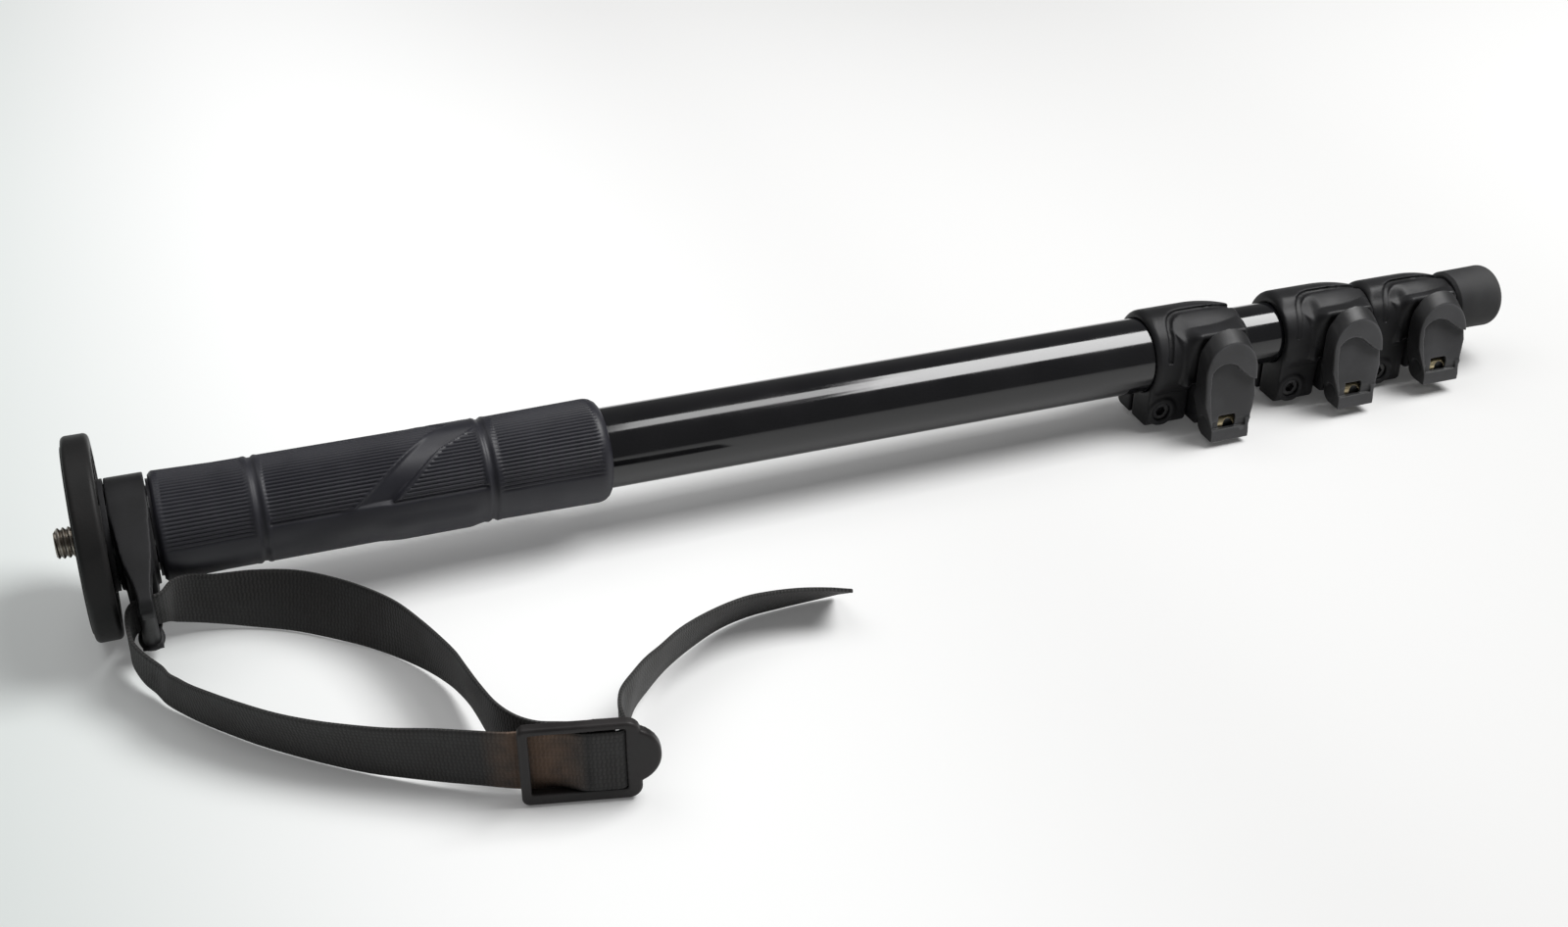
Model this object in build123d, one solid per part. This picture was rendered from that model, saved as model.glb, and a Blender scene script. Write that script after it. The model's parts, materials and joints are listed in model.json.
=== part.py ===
"""Camera monopod: platform, grip, wrist strap, four telescopic tubes and three flip locks.

Everything is drawn along the monopod's own axis, +X from the platform's face to the foot.
At the end it is laid down by one small turn about Y, so that the platform's rim and the
last lock's lug stand on the same level. The strap and its buckle are drawn on that level.
"""
from build123d import *
from dataclasses import dataclass
from math import atan, cos, degrees, radians, sin, sqrt
import os

os.makedirs("parts", exist_ok=True)

# Tubes, from the grip's to the thinnest one
tube_radii = (13.25, 11.0, 8.9, 6.8)
tube_wall = 1.25
tube_seat = 13.5
slide_gap = 0.2
fit_gap = 0.05
run_gap = 0.3
overrun = 2.0

# Platform
plate_radius = 31.5
plate_front = 0.4
plate_thickness = 8.1
plate_back = plate_front + plate_thickness
plate_rim_round = 1.6
pad_outer = 28.5
pad_depth = 1.6
pad_groove = 0.5
pad_groove_radii = (12.0, 16.5, 21.0, 25.0)
rib_count = 8
rib_width = 2.4
back_recess_outer = 27.0
back_recess_inner = 17.5
back_recess_depth = 3.5

# Stud and the screws under the pad
stud_radius = 4.76
stud_reach = 6.3
stud_bevel = 0.8
stud_flange_radius = 6.5
stud_flange_back = 1.8
stud_slot_width = 1.2
stud_slot_depth = 1.6
shank_radius = 3.175
shank_reach = 9.5
shank_end = plate_back + shank_reach
pad_margin = 1.0
pad_inner = stud_flange_radius + pad_margin
plate_screw_count = 3
plate_screw_radius = 1.5
plate_screw_wall = 0.3
plate_screw_circle = tube_radii[0] - tube_wall - plate_screw_wall - plate_screw_radius
plate_screw_head_radius = 2.6
plate_screw_head_depth = 1.5
plate_screw_end = plate_back + shank_reach + pad_margin

# Hub that closes the top of the first tube
hub_flange_lip = 3.95
hub_flange_radius = tube_radii[0] + hub_flange_lip
hub_flange_thickness = 1.5
hub_flange_back = plate_back + hub_flange_thickness
hub_skirt = 14.0
hub_end = hub_flange_back + hub_skirt
hub_mouth_radius = 7.6

# Strap collar, its arms and the bar that the webbing goes round
collar_start = hub_flange_back + run_gap
collar_width = 11.5
collar_end = collar_start + collar_width
collar_wall = 3.65
collar_radius = tube_radii[0] + run_gap + collar_wall
bar_radius = 2.6
bar_angle = 30.0
arm_boss_radius = 3.8
arm_end_half = 3.3
webbing_width = 20.0
webbing_thickness = 1.4
webbing_play = 0.7
window_floor = 1.4
window_start = collar_radius + window_floor
window_depth = 10.3
bar_distance = window_start + window_depth + bar_radius
turn_gap = 0.5
turn_radius = bar_radius + webbing_thickness / 2 + turn_gap

# Grip
grip_stand_off = 1.1
grip_start = collar_end + grip_stand_off
grip_length = 140.1
grip_end = grip_start + grip_length
grip_wall = 3.35
grip_radius = tube_radii[0] + grip_wall
grip_swell = 0.5
grip_flare = grip_radius + grip_swell
grip_end_round = 4.0
grip_section_lengths = (30.1, 71.0)
grip_groove_width = 2.6
grip_groove_depth = 0.35
grip_flare_length = 19.0
grip_lip_length = 2.2
grip_neck_wall = 1.8

# Flip locks
bare_tube_length = 197.0
lock_start = grip_end + bare_tube_length
lock_length = 37.6
section_2_shown = 16.0
rim_walls = (2.65, 3.9, 4.2)
rim_drops = (2.6, 2.7, 3.3)
rim_round = 3.0
rim_shoulder = 20.0
rim_bevel = 0.8
lug_length = 15.5
lug_near = 12.0
lug_far = 10.0
lug_drop = 23.8
lug_round = 3.0
slit_width = 1.6
cross_slot = 1.2
cross_slot_top = 6.0
fixing_station = 5.3
fixing_drop = 17.8
screw_radius = 2.0
screw_head_radius = 3.1
screw_head_length = 4.0
socket_radius = 1.7
socket_depth = 2.2
nut_half_flats = 3.5
nut_length = 3.2
head_play = 0.2
boss_radius = 5.3
boss_rise = 0.8
head_inset = 0.4

# Where each lock's lever hangs, beside the outer tube
pivot_out = 10.3
pivot_drop = 5.0
cam_radius = 5.2
ear_below_pivot = 4.2
shelf_below_top = 2.3
block_start = 10.3
block_root = 5.0
block_inset = 1.6
block_end = lock_length - block_inset
block_top_share = 0.92
block_round = 2.5
ear_inset = 7.6
ear_end = lock_length - ear_inset
far_ear = 11.0
far_ear_height = 9.0

# Levers
lever_inset = 13.8
lever_station = lock_length - lever_inset
lever_width = 20.6
lever_low_width = 15.0
lever_shoulder = 9.0
lever_top_share = 0.5
lever_top_rise = 9.2
lever_fall = 6.9
hood_height = 11.0
hood_front = 1.2
lever_front = 5.3
lever_front_low = 3.0
lever_round = 0.8
dish_edge_low = 7.6
dish_edge_middle = 8.4
dish_edge_high = 8.0
dish_middle_share = 0.41
dish_side_share = 0.60
dish_crown = 2.5
dish_crown_share = 0.69
dish_fall = 3.0
dish_fall_share = 0.61
dish_open = 7.5
dish_open_shares = (0.50, 0.44)
dish_depth_high = 2.6
dish_depth_low = 0.4
slot_near = 7.3
slot_far = 6.0
slot_floor = 3.75
window_high = 2.4
window_low = 0.5
notch_near = 4.5
notch_far = 2.1
notch_high = 4.2
notch_low = 0.3
cavity_width = 6.8
lever_bar_play = 0.2
lever_skin = 1.8
pocket_below_top = 16.0
barrel_radius = 2.9
barrel_inset = 0.2
barrel_length = lever_low_width - 2 * barrel_inset
barrel_play = 0.15

# The line moulded into each lock body, drawn as seen from above the camera's side
line_width = 2.2
line_depth = 1.3
line_view_angle = 50.0
line_top_share = 0.57
line_low_share = 0.6
line_corner = 8.0
line_high_station = 8.2
line_low_station = 4.6

# Guides on the inner ends of the sliding tubes
guide_length = 12.0
guide_lip = 1.2
nest_step = 1.5

# Foot
foot_length = 21.2
foot_cover = 10.6
foot_wall = 4.4
foot_radius = tube_radii[3] + foot_wall
foot_swell = 0.2
foot_flare = foot_radius + foot_swell
foot_dome = 4.5
foot_tip_radius = 5.0
foot_plug_length = 22.0
foot_plug_head = 1.5

# Buckle, drawn flat in XZ with its front on y = 0
buckle_end = 33.0
buckle_low_bar = 3.8
buckle_top_bar = 2.0
gate_height = webbing_width + webbing_play
buckle_height = buckle_low_bar + gate_height + buckle_top_bar
buckle_thickness = 3.2
buckle_corner = 2.2
buckle_far_corner = 4.0
buckle_tab_radius = 9.7
buckle_tab_reach = 5.5
buckle_tab_share = 0.55
buckle_left_bar = 2.8
buckle_middle_start = 17.8
buckle_middle_end = 26.4
buckle_middle_front = 1.4
buckle_tab_start = 29.0
buckle_edge = 0.6
buckle_place_shares = (5.15, -6.325)
buckle_turn_angle = -13.5

# Webbing, in rows of x, y, height, lean in x, lean in y. The first two place the lower edge
# in shares of the webbing's width, the leans carry the upper edge aside in the same shares,
# and the height is a share of the lift to the buckle's gate or to the bar's lower end
back_run_shares = (
    (6.47, -6.385, 1.0, 0.0, 0.0),
    (6.09, -6.28, 1.0, 0.0, 0.0),
    (5.80, -6.175, 1.0, 0.0, 0.0),
    (5.50, -6.03, 1.0, -0.01, -0.01),
    (5.28, -5.80, 1.0, -0.02, -0.02),
    (5.14, -5.45, 1.0, -0.06, -0.03),
    (5.05, -4.95, 0.98, -0.10, -0.03),
    (4.99, -4.41, 0.95, -0.14, -0.02),
    (4.94, -4.05, 0.81, -0.14, -0.03),
    (4.81, -3.51, 0.48, -0.13, -0.04),
    (4.57, -2.97, 0.24, -0.06, -0.03),
    (4.22, -2.45, 0.10, 0.05, 0.05),
    (3.85, -2.03, 0.07, 0.11, 0.11),
    (3.36, -1.61, 0.10, 0.16, 0.19),
    (2.85, -1.22, 0.10, 0.15, 0.20),
    (2.33, -0.93, 0.14, 0.06, 0.08),
)
climb_shares = (
    (1.80, -0.74, 0.29, 0.0, -0.12),
    (1.45, -0.71, 0.58, 0.03, -0.27),
    (1.17, -0.77, 0.94, 0.05, -0.38),
)
# Turn round the bar, in shares of the turn's radius: along the axis, and inward from the bar
bar_turn_shares = (
    (1.22, 1.18),
    (0.0, 1.0),
    (-0.68, 0.88),
    (-1.20, 0.46),
    (-1.47, -0.17),
)
descent_shares = (
    (0.42, -1.49, 0.56, 0.04, -0.52),
    (0.46, -1.71, 0.43, 0.06, -0.51),
    (0.55, -1.92, 0.32, 0.11, -0.51),
    (0.69, -2.13, 0.23, 0.13, -0.52),
    (0.85, -2.40, 0.14, 0.09, -0.47),
)
front_run_shares = (
    (1.04, -2.67, 0.14, 0.01, -0.39),
    (1.26, -2.95, 0.10, -0.09, -0.31),
    (1.49, -3.22, 0.10, -0.18, -0.22),
    (1.95, -3.72, 0.10, -0.20, -0.19),
    (2.41, -4.15, 0.10, -0.18, -0.21),
    (2.87, -4.54, 0.10, -0.15, -0.19),
    (3.33, -4.90, 0.14, -0.11, -0.15),
    (3.72, -5.17, 0.29, -0.09, -0.13),
    (4.21, -5.50, 0.52, -0.05, -0.07),
    (4.70, -5.80, 0.81, -0.04, -0.05),
    (5.08, -6.01, 0.98, -0.02, -0.03),
    (5.28, -6.085, 1.0, 0.0, 0.0),
    (5.50, -6.157, 1.0, 0.0, 0.0),
    (5.706, -6.258, 1.0, 0.0, 0.0),
    (5.866, -6.384, 1.0, 0.0, 0.0),
    (5.993, -6.496, 1.0, 0.0, 0.0),
    (6.15, -6.55, 1.0, 0.0, 0.0),
    (6.32, -6.59, 1.0, 0.0, 0.0),
    (6.44, -6.606, 1.0, 0.0, 0.0),
    (6.505, -6.56, 1.0, 0.0, 0.0),
    (6.53, -6.46, 1.0, 0.0, 0.0),
    (6.555, -6.32, 1.0, 0.0, 0.0),
)
tail_shares = (
    (6.605, -6.075, 1.0, 0.0, 0.0),
    (6.72, -5.74, 1.0, 0.02, -0.02),
    (6.89, -5.38, 1.0, 0.06, -0.07),
    (7.11, -5.04, 0.95, 0.12, -0.13),
    (7.37, -4.73, 0.86, 0.20, -0.20),
    (7.80, -4.28, 0.71, 0.24, -0.28),
    (8.34, -3.86, 0.57, 0.25, -0.38),
    (8.95, -3.49, 0.38, 0.24, -0.49),
    (9.46, -3.32, 0.24, 0.14, -0.58),
    (10.07, -3.265, 0.19, 0.04, -0.65),
    (10.60, -3.26, 0.24, -0.02, -0.73),
    (10.96, -3.29, 0.43, -0.06, -0.80),
)


def turned(outline):
    """Solid of revolution about the axis; its outline gives (station, radius)."""
    return revolve(make_face(outline), Axis.X)


def ring(start, end, outer, inner):
    return turned(Polyline((start, inner), (end, inner), (end, outer), (start, outer), close=True))


def rod(start, end, radius, y=0, z=0):
    """Round bar along X."""
    bar = Cylinder(radius, end - start, align=(Align.CENTER, Align.CENTER, Align.MIN))
    return Pos(start, y, z) * (Rot(0, 90, 0) * bar)


def cross_rod(near, far, radius, x, z):
    """Round bar along Y."""
    bar = Cylinder(radius, far - near, align=(Align.CENTER, Align.CENTER, Align.MIN))
    return Pos(x, near, z) * (Rot(-90, 0, 0) * bar)


def block(low, high):
    size = [b - a for a, b in zip(low, high)]
    return Pos(*low) * Box(*size, align=(Align.MIN, Align.MIN, Align.MIN))


def across(face, start, end):
    """Prism of a (y, z) outline between two stations."""
    return extrude(Plane.YZ.offset(start) * face, amount=end - start)


def through(face, near, far):
    """Prism of an (x, z) outline between two depths."""
    return extrude(Plane.XZ.offset(-far) * face, amount=far - near)


def outline(*points):
    return make_face(Polyline(*points, close=True))


@dataclass
class Lock:
    """Where one flip lock sits and the two tubes that it joins."""

    start: float
    outer: float
    inner: float
    rim: float
    end_radius: float

    @property
    def end(self):
        return self.start + lock_length

    @property
    def lever_x(self):
        return self.start + lever_station

    @property
    def pivot_y(self):
        return -(self.outer + pivot_out)

    @property
    def pivot_z(self):
        return -(self.outer + pivot_drop)

    @property
    def flank(self):
        return self.pivot_y + cam_radius + run_gap

    @property
    def ear_bottom(self):
        return self.pivot_z - ear_below_pivot

    @property
    def lever_top(self):
        return lever_top_share * self.outer + lever_top_rise

    @property
    def shelf(self):
        return self.lever_top - shelf_below_top


def make_locks():
    starts = [lock_start]
    starts.append(starts[0] + lock_length + section_2_shown)
    starts.append(starts[1] + lock_length + run_gap)
    locks = []
    for number, start in enumerate(starts):
        rim = tube_radii[number] + rim_walls[number]
        end_radius = rim - rim_drops[number]
        locks.append(Lock(start, tube_radii[number], tube_radii[number + 1], rim, end_radius))
    return locks


locks = make_locks()
foot_start = locks[2].end + run_gap
foot_end = foot_start + foot_length
last_tube_end = foot_start + foot_cover


def tube_head(number):
    """Station of a tube's upper end; the sliding ones stop short of the hub by steps."""
    if number == 0:
        return hub_flange_back + fit_gap
    return hub_end + section_2_shown + overrun + (number - 1) * nest_step


def camera_plate():
    """Round platform: pad recess in front, ribbed recess behind, rounded rim."""
    face = outline(
        (plate_front, shank_radius + run_gap),
        (plate_back, shank_radius + run_gap),
        (plate_back, plate_radius),
        (plate_front, plate_radius),
    )
    rim_corners = face.vertices().sort_by(Axis.Y)[-2:]
    plate = revolve(fillet(rim_corners, plate_rim_round), Axis.X)
    plate -= ring(plate_front - overrun, pad_depth, pad_outer + slide_gap, pad_inner - slide_gap)
    plate -= rod(plate_front - overrun, stud_flange_back, stud_flange_radius + slide_gap)
    floor = plate_back - back_recess_depth
    recess = ring(floor, plate_back + overrun, back_recess_outer, back_recess_inner)
    for number in range(rib_count):
        rib = block(
            (floor, -rib_width / 2, back_recess_inner - overrun),
            (plate_back, rib_width / 2, back_recess_outer + overrun),
        )
        recess -= Rot(360 * (number + 0.5) / rib_count, 0, 0) * rib
    plate -= recess
    for place in screw_places():
        plate -= place * rod(0, plate_back + overrun, plate_screw_radius + slide_gap)
        plate -= place * screw_head(slide_gap)
    return plate


def screw_places():
    return [
        Rot(360 * number / plate_screw_count, 0, 0) * Pos(0, 0, plate_screw_circle)
        for number in range(plate_screw_count)
    ]


def screw_head(play):
    """Countersunk head that opens towards the pad."""
    neck = pad_depth + plate_screw_head_depth
    wide = plate_screw_head_radius + play
    slim = plate_screw_radius + play
    return turned(Polyline((pad_depth, 0), (pad_depth, wide), (neck, slim), (neck, 0), close=True))


def plate_screws():
    screw = screw_head(0) + rod(pad_depth, plate_screw_end, plate_screw_radius)
    socket = rod(pad_depth - overrun, pad_depth + plate_screw_head_depth / 2, plate_screw_radius / 2)
    return Compound([place * (screw - socket) for place in screw_places()])


def plate_pad():
    pad = ring(0, pad_depth - fit_gap, pad_outer, pad_inner)
    for radius in pad_groove_radii:
        pad -= ring(-overrun, pad_groove, radius + pad_groove, radius - pad_groove)
    return pad


def camera_stud():
    """Reversible stud: the large thread faces the camera, the small one holds it in the hub."""
    profile = Polyline(
        (-stud_reach, 0),
        (-stud_reach, stud_radius - stud_bevel),
        (-stud_reach + stud_bevel, stud_radius),
        (plate_front, stud_radius),
        (plate_front, stud_flange_radius),
        (stud_flange_back - fit_gap, stud_flange_radius),
        (stud_flange_back - fit_gap, shank_radius),
        (shank_end, shank_radius),
        (shank_end, 0),
        close=True,
    )
    slot = block(
        (-stud_reach - overrun, -stud_slot_width / 2, -stud_radius - overrun),
        (-stud_reach + stud_slot_depth, stud_slot_width / 2, stud_radius + overrun),
    )
    return turned(profile) - slot


def top_hub():
    bore = tube_radii[0] - tube_wall
    profile = Polyline(
        (plate_back + fit_gap, shank_radius + fit_gap),
        (plate_back + fit_gap, hub_flange_radius),
        (hub_flange_back, hub_flange_radius),
        (hub_flange_back, bore - fit_gap),
        (hub_end, bore - fit_gap),
        (hub_end, hub_mouth_radius),
        (shank_end + overrun, shank_radius + fit_gap),
        close=True,
    )
    hub = turned(profile)
    for place in screw_places():
        hub -= place * rod(plate_back, plate_screw_end + overrun, plate_screw_radius + fit_gap)
    return hub


def grip():
    """Soft sleeve: flared at the head, two ring grooves, a lip and a rounded lower end."""
    bore = tube_radii[0] + fit_gap
    flare_end = grip_start + grip_flare_length
    first_groove = grip_start + grip_section_lengths[0]
    second_groove = first_groove + grip_section_lengths[1]
    neck_start = collar_end + run_gap
    neck_radius = bore + grip_neck_wall
    edges = [
        Line((neck_start, bore), (neck_start, neck_radius)),
        Line((neck_start, neck_radius), (grip_start, neck_radius)),
        Line((grip_start, neck_radius), (grip_start, grip_flare - grip_lip_length / 2)),
        Line(
            (grip_start, grip_flare - grip_lip_length / 2),
            (grip_start + grip_lip_length / 2, grip_flare),
        ),
        Line((grip_start + grip_lip_length / 2, grip_flare), (flare_end, grip_radius)),
        Line((flare_end, grip_radius), (second_groove, grip_radius)),
        Line((second_groove, grip_radius), (grip_end - grip_end_round, grip_flare)),
    ]
    corner = sqrt(0.5) * grip_end_round
    edges.append(
        ThreePointArc(
            (grip_end - grip_end_round, grip_flare),
            (grip_end - grip_end_round + corner, grip_flare - grip_end_round + corner),
            (grip_end, grip_flare - grip_end_round),
        )
    )
    edges.append(Line((grip_end, grip_flare - grip_end_round), (grip_end, bore)))
    edges.append(Line((grip_end, bore), (neck_start, bore)))
    sleeve = turned(edges)
    for station in (first_groove, second_groove):
        sleeve -= ring(
            station - grip_groove_width / 2,
            station + grip_groove_width / 2,
            grip_flare + overrun,
            grip_radius - grip_groove_depth,
        )
    return sleeve


def tube(number):
    ends = [lock.start + tube_seat for lock in locks] + [last_tube_end]
    radius = tube_radii[number]
    return ring(tube_head(number), ends[number], radius, radius - tube_wall)


def guide(number):
    """Slippery bush over the inner end of a sliding tube, with a lip over the end."""
    radius = tube_radii[number]
    bore = tube_radii[number - 1] - tube_wall
    head = tube_head(number)
    profile = Polyline(
        (head - guide_lip, radius - tube_wall),
        (head - guide_lip, bore - slide_gap),
        (head + guide_length, bore - slide_gap),
        (head + guide_length, radius + fit_gap),
        (head - fit_gap, radius + fit_gap),
        (head - fit_gap, radius - tube_wall),
        close=True,
    )
    return turned(profile)


def collar_tilt():
    """Turns +Y, the direction away from the axis, towards the bar."""
    return Rot(180 + bar_angle, 0, 0)


def strap_collar():
    """Ring that turns on the tube, with two tapering arms and the webbing's bar."""
    half = webbing_width / 2 + webbing_play
    lobe = half + arm_boss_radius - webbing_play
    rims = Circle(collar_radius).edges()
    for side in (-1, 1):
        rims += (Pos(bar_distance, side * lobe) * Circle(arm_boss_radius)).edges()
    shape = make_hull(rims)
    body = across(shape, collar_start, collar_end)
    middle = (collar_start + collar_end) / 2
    wide = (collar_end - collar_start) / 2
    reach = bar_distance + arm_boss_radius
    taper = outline(
        (middle - wide, -collar_radius - overrun),
        (middle + wide, -collar_radius - overrun),
        (middle + wide, 0),
        (middle + arm_end_half, bar_distance),
        (middle + arm_end_half, reach + overrun),
        (middle - arm_end_half, reach + overrun),
        (middle - arm_end_half, bar_distance),
        (middle - wide, 0),
    )
    body &= extrude(taper, amount=reach + overrun, both=True)
    body += rod(collar_start, collar_end, collar_radius)
    before = collar_start - overrun
    beyond = collar_end + overrun
    body -= block((before, window_start, -half), (beyond, reach + overrun, half))
    body += Pos(middle, bar_distance, 0) * Cylinder(bar_radius, 2 * lobe)
    body -= rod(before, beyond, tube_radii[0] + run_gap)
    return collar_tilt() * body


def collar_form(lock, inset):
    """Turned form of a lock body: full size over the outer tube, then falling away."""
    a = lock.start
    rim = lock.rim - inset
    low = lock.end_radius - inset
    corner = rim_round * sqrt(0.5)
    edges = [
        Line((a, 0), (a, rim - rim_round)),
        ThreePointArc(
            (a, rim - rim_round),
            (a + rim_round - corner, rim - rim_round + corner),
            (a + rim_round, rim),
        ),
        Line((a + rim_round, rim), (a + rim_shoulder, rim)),
        TangentArc((a + rim_shoulder, rim), (lock.end - rim_bevel, low), tangent=(1, 0)),
        Line((lock.end - rim_bevel, low), (lock.end, low - rim_bevel)),
        Line((lock.end, low - rim_bevel), (lock.end, 0)),
        Line((lock.end, 0), (a, 0)),
    ]
    return turned(edges)


def lever_block(lock):
    """Block beside the collar that the lever closes against, with the near ear below."""
    side = outline(
        (lock.flank, lock.ear_bottom),
        (0, lock.ear_bottom),
        (0, block_top_share * lock.end_radius),
        (lock.flank, lock.shelf),
    )
    side = fillet(side.vertices().sort_by(Axis.X)[:2], block_round)
    plan = outline(
        (lock.start + block_start, lock.flank),
        (lock.start + block_end, lock.flank),
        (lock.start + block_end, 0),
        (lock.start + block_root, 0),
    )
    plan = fillet(plan.vertices().sort_by(Axis.Y)[:2], block_round)
    body = across(side, lock.start + block_root, lock.start + block_end)
    body &= extrude(plan, amount=lock.outer + pivot_out + lug_drop, both=True)
    ear_start = lock.start + lug_length + cross_slot
    floor = lock.ear_bottom - overrun
    body -= block((lock.start, lock.flank - overrun, floor), (ear_start, 0, -cross_slot_top))
    body -= block(
        (lock.start + ear_end, lock.flank - overrun, floor),
        (lock.end + overrun, 0, -cross_slot_top),
    )
    return body


def far_ear_block(lock):
    side = outline(
        (0, lock.ear_bottom),
        (far_ear, lock.ear_bottom),
        (far_ear, lock.ear_bottom + far_ear_height),
        (lock.end_radius - rim_bevel, 0),
        (0, 0),
    )
    start = lock.start + lug_length + cross_slot
    return across(side, start, lock.start + ear_end)


def fixing_lug(lock):
    side = outline((-lug_near, 0), (-lug_near, -lug_drop), (lug_far, -lug_drop), (lug_far, 0))
    side = fillet(side.vertices().sort_by(Axis.Y)[:2], lug_round)
    boss = cross_rod(-lug_near - boss_rise, 0, boss_radius, lock.start + fixing_station, -fixing_drop)
    return across(side, lock.start, lock.start + lug_length) + boss


def hex_nut(near, far, x, z, half_flats):
    hexagon = RegularPolygon(half_flats, 6, major_radius=False)
    return through(Pos(x, z) * hexagon, near, far)


def moulded_line(lock):
    """The groove that runs along the top and turns down on the camera's side."""
    view = radians(line_view_angle)
    plane = Plane((0, 0, 0), x_dir=(1, 0, 0), z_dir=(0, -cos(view), sin(view)))
    path = FilletPolyline(
        (lock.end + overrun, line_top_share * lock.rim),
        (lock.start + line_high_station, line_top_share * lock.rim),
        (lock.start + line_low_station, -line_low_share * lock.rim),
        radius=line_corner,
    )
    strip = extrude(plane * trace(path, line_width=line_width), amount=lock.rim + overrun)
    return strip - collar_form(lock, line_depth)


def lock_body(lock):
    """Moulded split collar with the lever's block and ears and the fixing lug."""
    body = collar_form(lock, 0) - moulded_line(lock)
    body += lever_block(lock) + far_ear_block(lock) + fixing_lug(lock)
    body -= rod(lock.start - overrun, lock.start + tube_seat + fit_gap, lock.outer + fit_gap)
    body -= rod(lock.start + tube_seat, lock.end + overrun, lock.inner + run_gap)
    floor = -lug_drop - overrun
    body -= block(
        (lock.start - overrun, -slit_width / 2, floor),
        (lock.end + overrun, slit_width / 2, 0),
    )
    slot_start = lock.start + lug_length
    body -= block(
        (slot_start, lock.flank - overrun, floor),
        (slot_start + cross_slot, lock.rim + overrun, -cross_slot_top),
    )
    screw_x = lock.start + fixing_station
    hole = screw_radius + head_play
    body -= cross_rod(-lug_near - overrun, lug_far + overrun, hole, screw_x, -fixing_drop)
    seat = -lug_near + head_inset + screw_head_length
    body -= cross_rod(-lug_near - overrun, seat, screw_head_radius + head_play, screw_x, -fixing_drop)
    nut_seat = lug_far - head_inset - nut_length
    body -= hex_nut(nut_seat, lug_far + overrun, screw_x, -fixing_drop, nut_half_flats + fit_gap)
    body -= cross_rod(lock.flank - overrun, far_ear + overrun, hole, lock.lever_x, lock.pivot_z)
    bolt_seat = far_ear - head_inset - screw_head_length
    head = screw_head_radius + head_play
    body -= cross_rod(bolt_seat, far_ear + overrun, head, lock.lever_x, lock.pivot_z)
    return body


def fixing_screw(lock):
    """Socket screw through the lug, with its nut on the far side."""
    x = lock.start + fixing_station
    z = -fixing_drop
    near = -lug_near + head_inset
    seat = near + screw_head_length
    far = lug_far - head_inset
    screw = cross_rod(near, seat - fit_gap, screw_head_radius, x, z)
    screw += cross_rod(near, far, screw_radius, x, z)
    screw -= hex_nut(near - overrun, near + socket_depth, x, z, socket_radius)
    nut = hex_nut(far - nut_length + fit_gap, far, x, z, nut_half_flats)
    nut -= cross_rod(far - nut_length - overrun, far + overrun, screw_radius + fit_gap, x, z)
    return Compound([screw.solid(), nut.solid()])


def barrel_nut(lock):
    """Brass cross pin that the lever turns on; the clamp bolt screws into it."""
    half = barrel_length / 2
    pin = rod(lock.lever_x - half, lock.lever_x + half, barrel_radius, lock.pivot_y, lock.pivot_z)
    hole = cross_rod(
        lock.pivot_y - barrel_radius - overrun,
        lock.pivot_y + barrel_radius + overrun,
        screw_radius + fit_gap,
        lock.lever_x,
        lock.pivot_z,
    )
    return pin - hole


def clamp_bolt(lock):
    far = far_ear - head_inset
    seat = far - screw_head_length
    near = lock.pivot_y - screw_radius
    bolt = cross_rod(near, seat + fit_gap, screw_radius, lock.lever_x, lock.pivot_z)
    bolt += cross_rod(seat + fit_gap, far, screw_head_radius, lock.lever_x, lock.pivot_z)
    return bolt - hex_nut(far - socket_depth, far + overrun, lock.lever_x, lock.pivot_z, socket_radius)


def front_at(height, top):
    """Depth of the lever's lower front facet at a height over the pivot."""
    hood = top - hood_height
    rise = (height + lever_front_low) / (hood + lever_front_low)
    return -lever_front + rise * (lever_front - hood_front)


def lever_arch(y, top):
    """Front view of a lever at one depth: narrow at the pivot, wide and arched above."""
    half = lever_width / 2
    low = lever_low_width / 2
    arch = make_face(
        [
            Line((-low, -cam_radius), (low, -cam_radius)),
            Line((low, -cam_radius), (low, 0)),
            Line((low, 0), (half, lever_shoulder)),
            Line((half, lever_shoulder), (half, top - half)),
            ThreePointArc((half, top - half), (0, top), (-half, top - half)),
            Line((-half, top - half), (-half, lever_shoulder)),
            Line((-half, lever_shoulder), (-low, 0)),
            Line((-low, 0), (-low, -cam_radius)),
        ]
    )
    return Plane.XZ.offset(-y) * arch


def lever_form(top):
    """Outer form of a lever: its arch falls towards the sloping front, the cam is below."""
    arc_share = sqrt(0.5)
    side = make_face(
        [
            Line((cam_radius, 0), (cam_radius, top)),
            Line((cam_radius, top), (front_at(top, top), top)),
            Line((front_at(top, top), top), (-lever_front, -lever_front_low)),
            Line((-lever_front, -lever_front_low), (-lever_front, -cam_radius)),
            Line((-lever_front, -cam_radius), (0, -cam_radius)),
            ThreePointArc(
                (0, -cam_radius),
                (arc_share * cam_radius, -arc_share * cam_radius),
                (cam_radius, 0),
            ),
        ]
    )
    half = lever_width / 2
    arches = [lever_arch(cam_radius, top), lever_arch(-lever_front, top - lever_fall)]
    form = across(side, -half, half) & loft(arches, ruled=True)
    facing = [face for face in form.faces() if face.normal_at().Y < -arc_share]
    front = max(facing, key=lambda face: face.area)
    edges = [edge for edge in front.edges() if edge.center().Z > lever_shoulder]
    return fillet(edges, lever_round)


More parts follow.
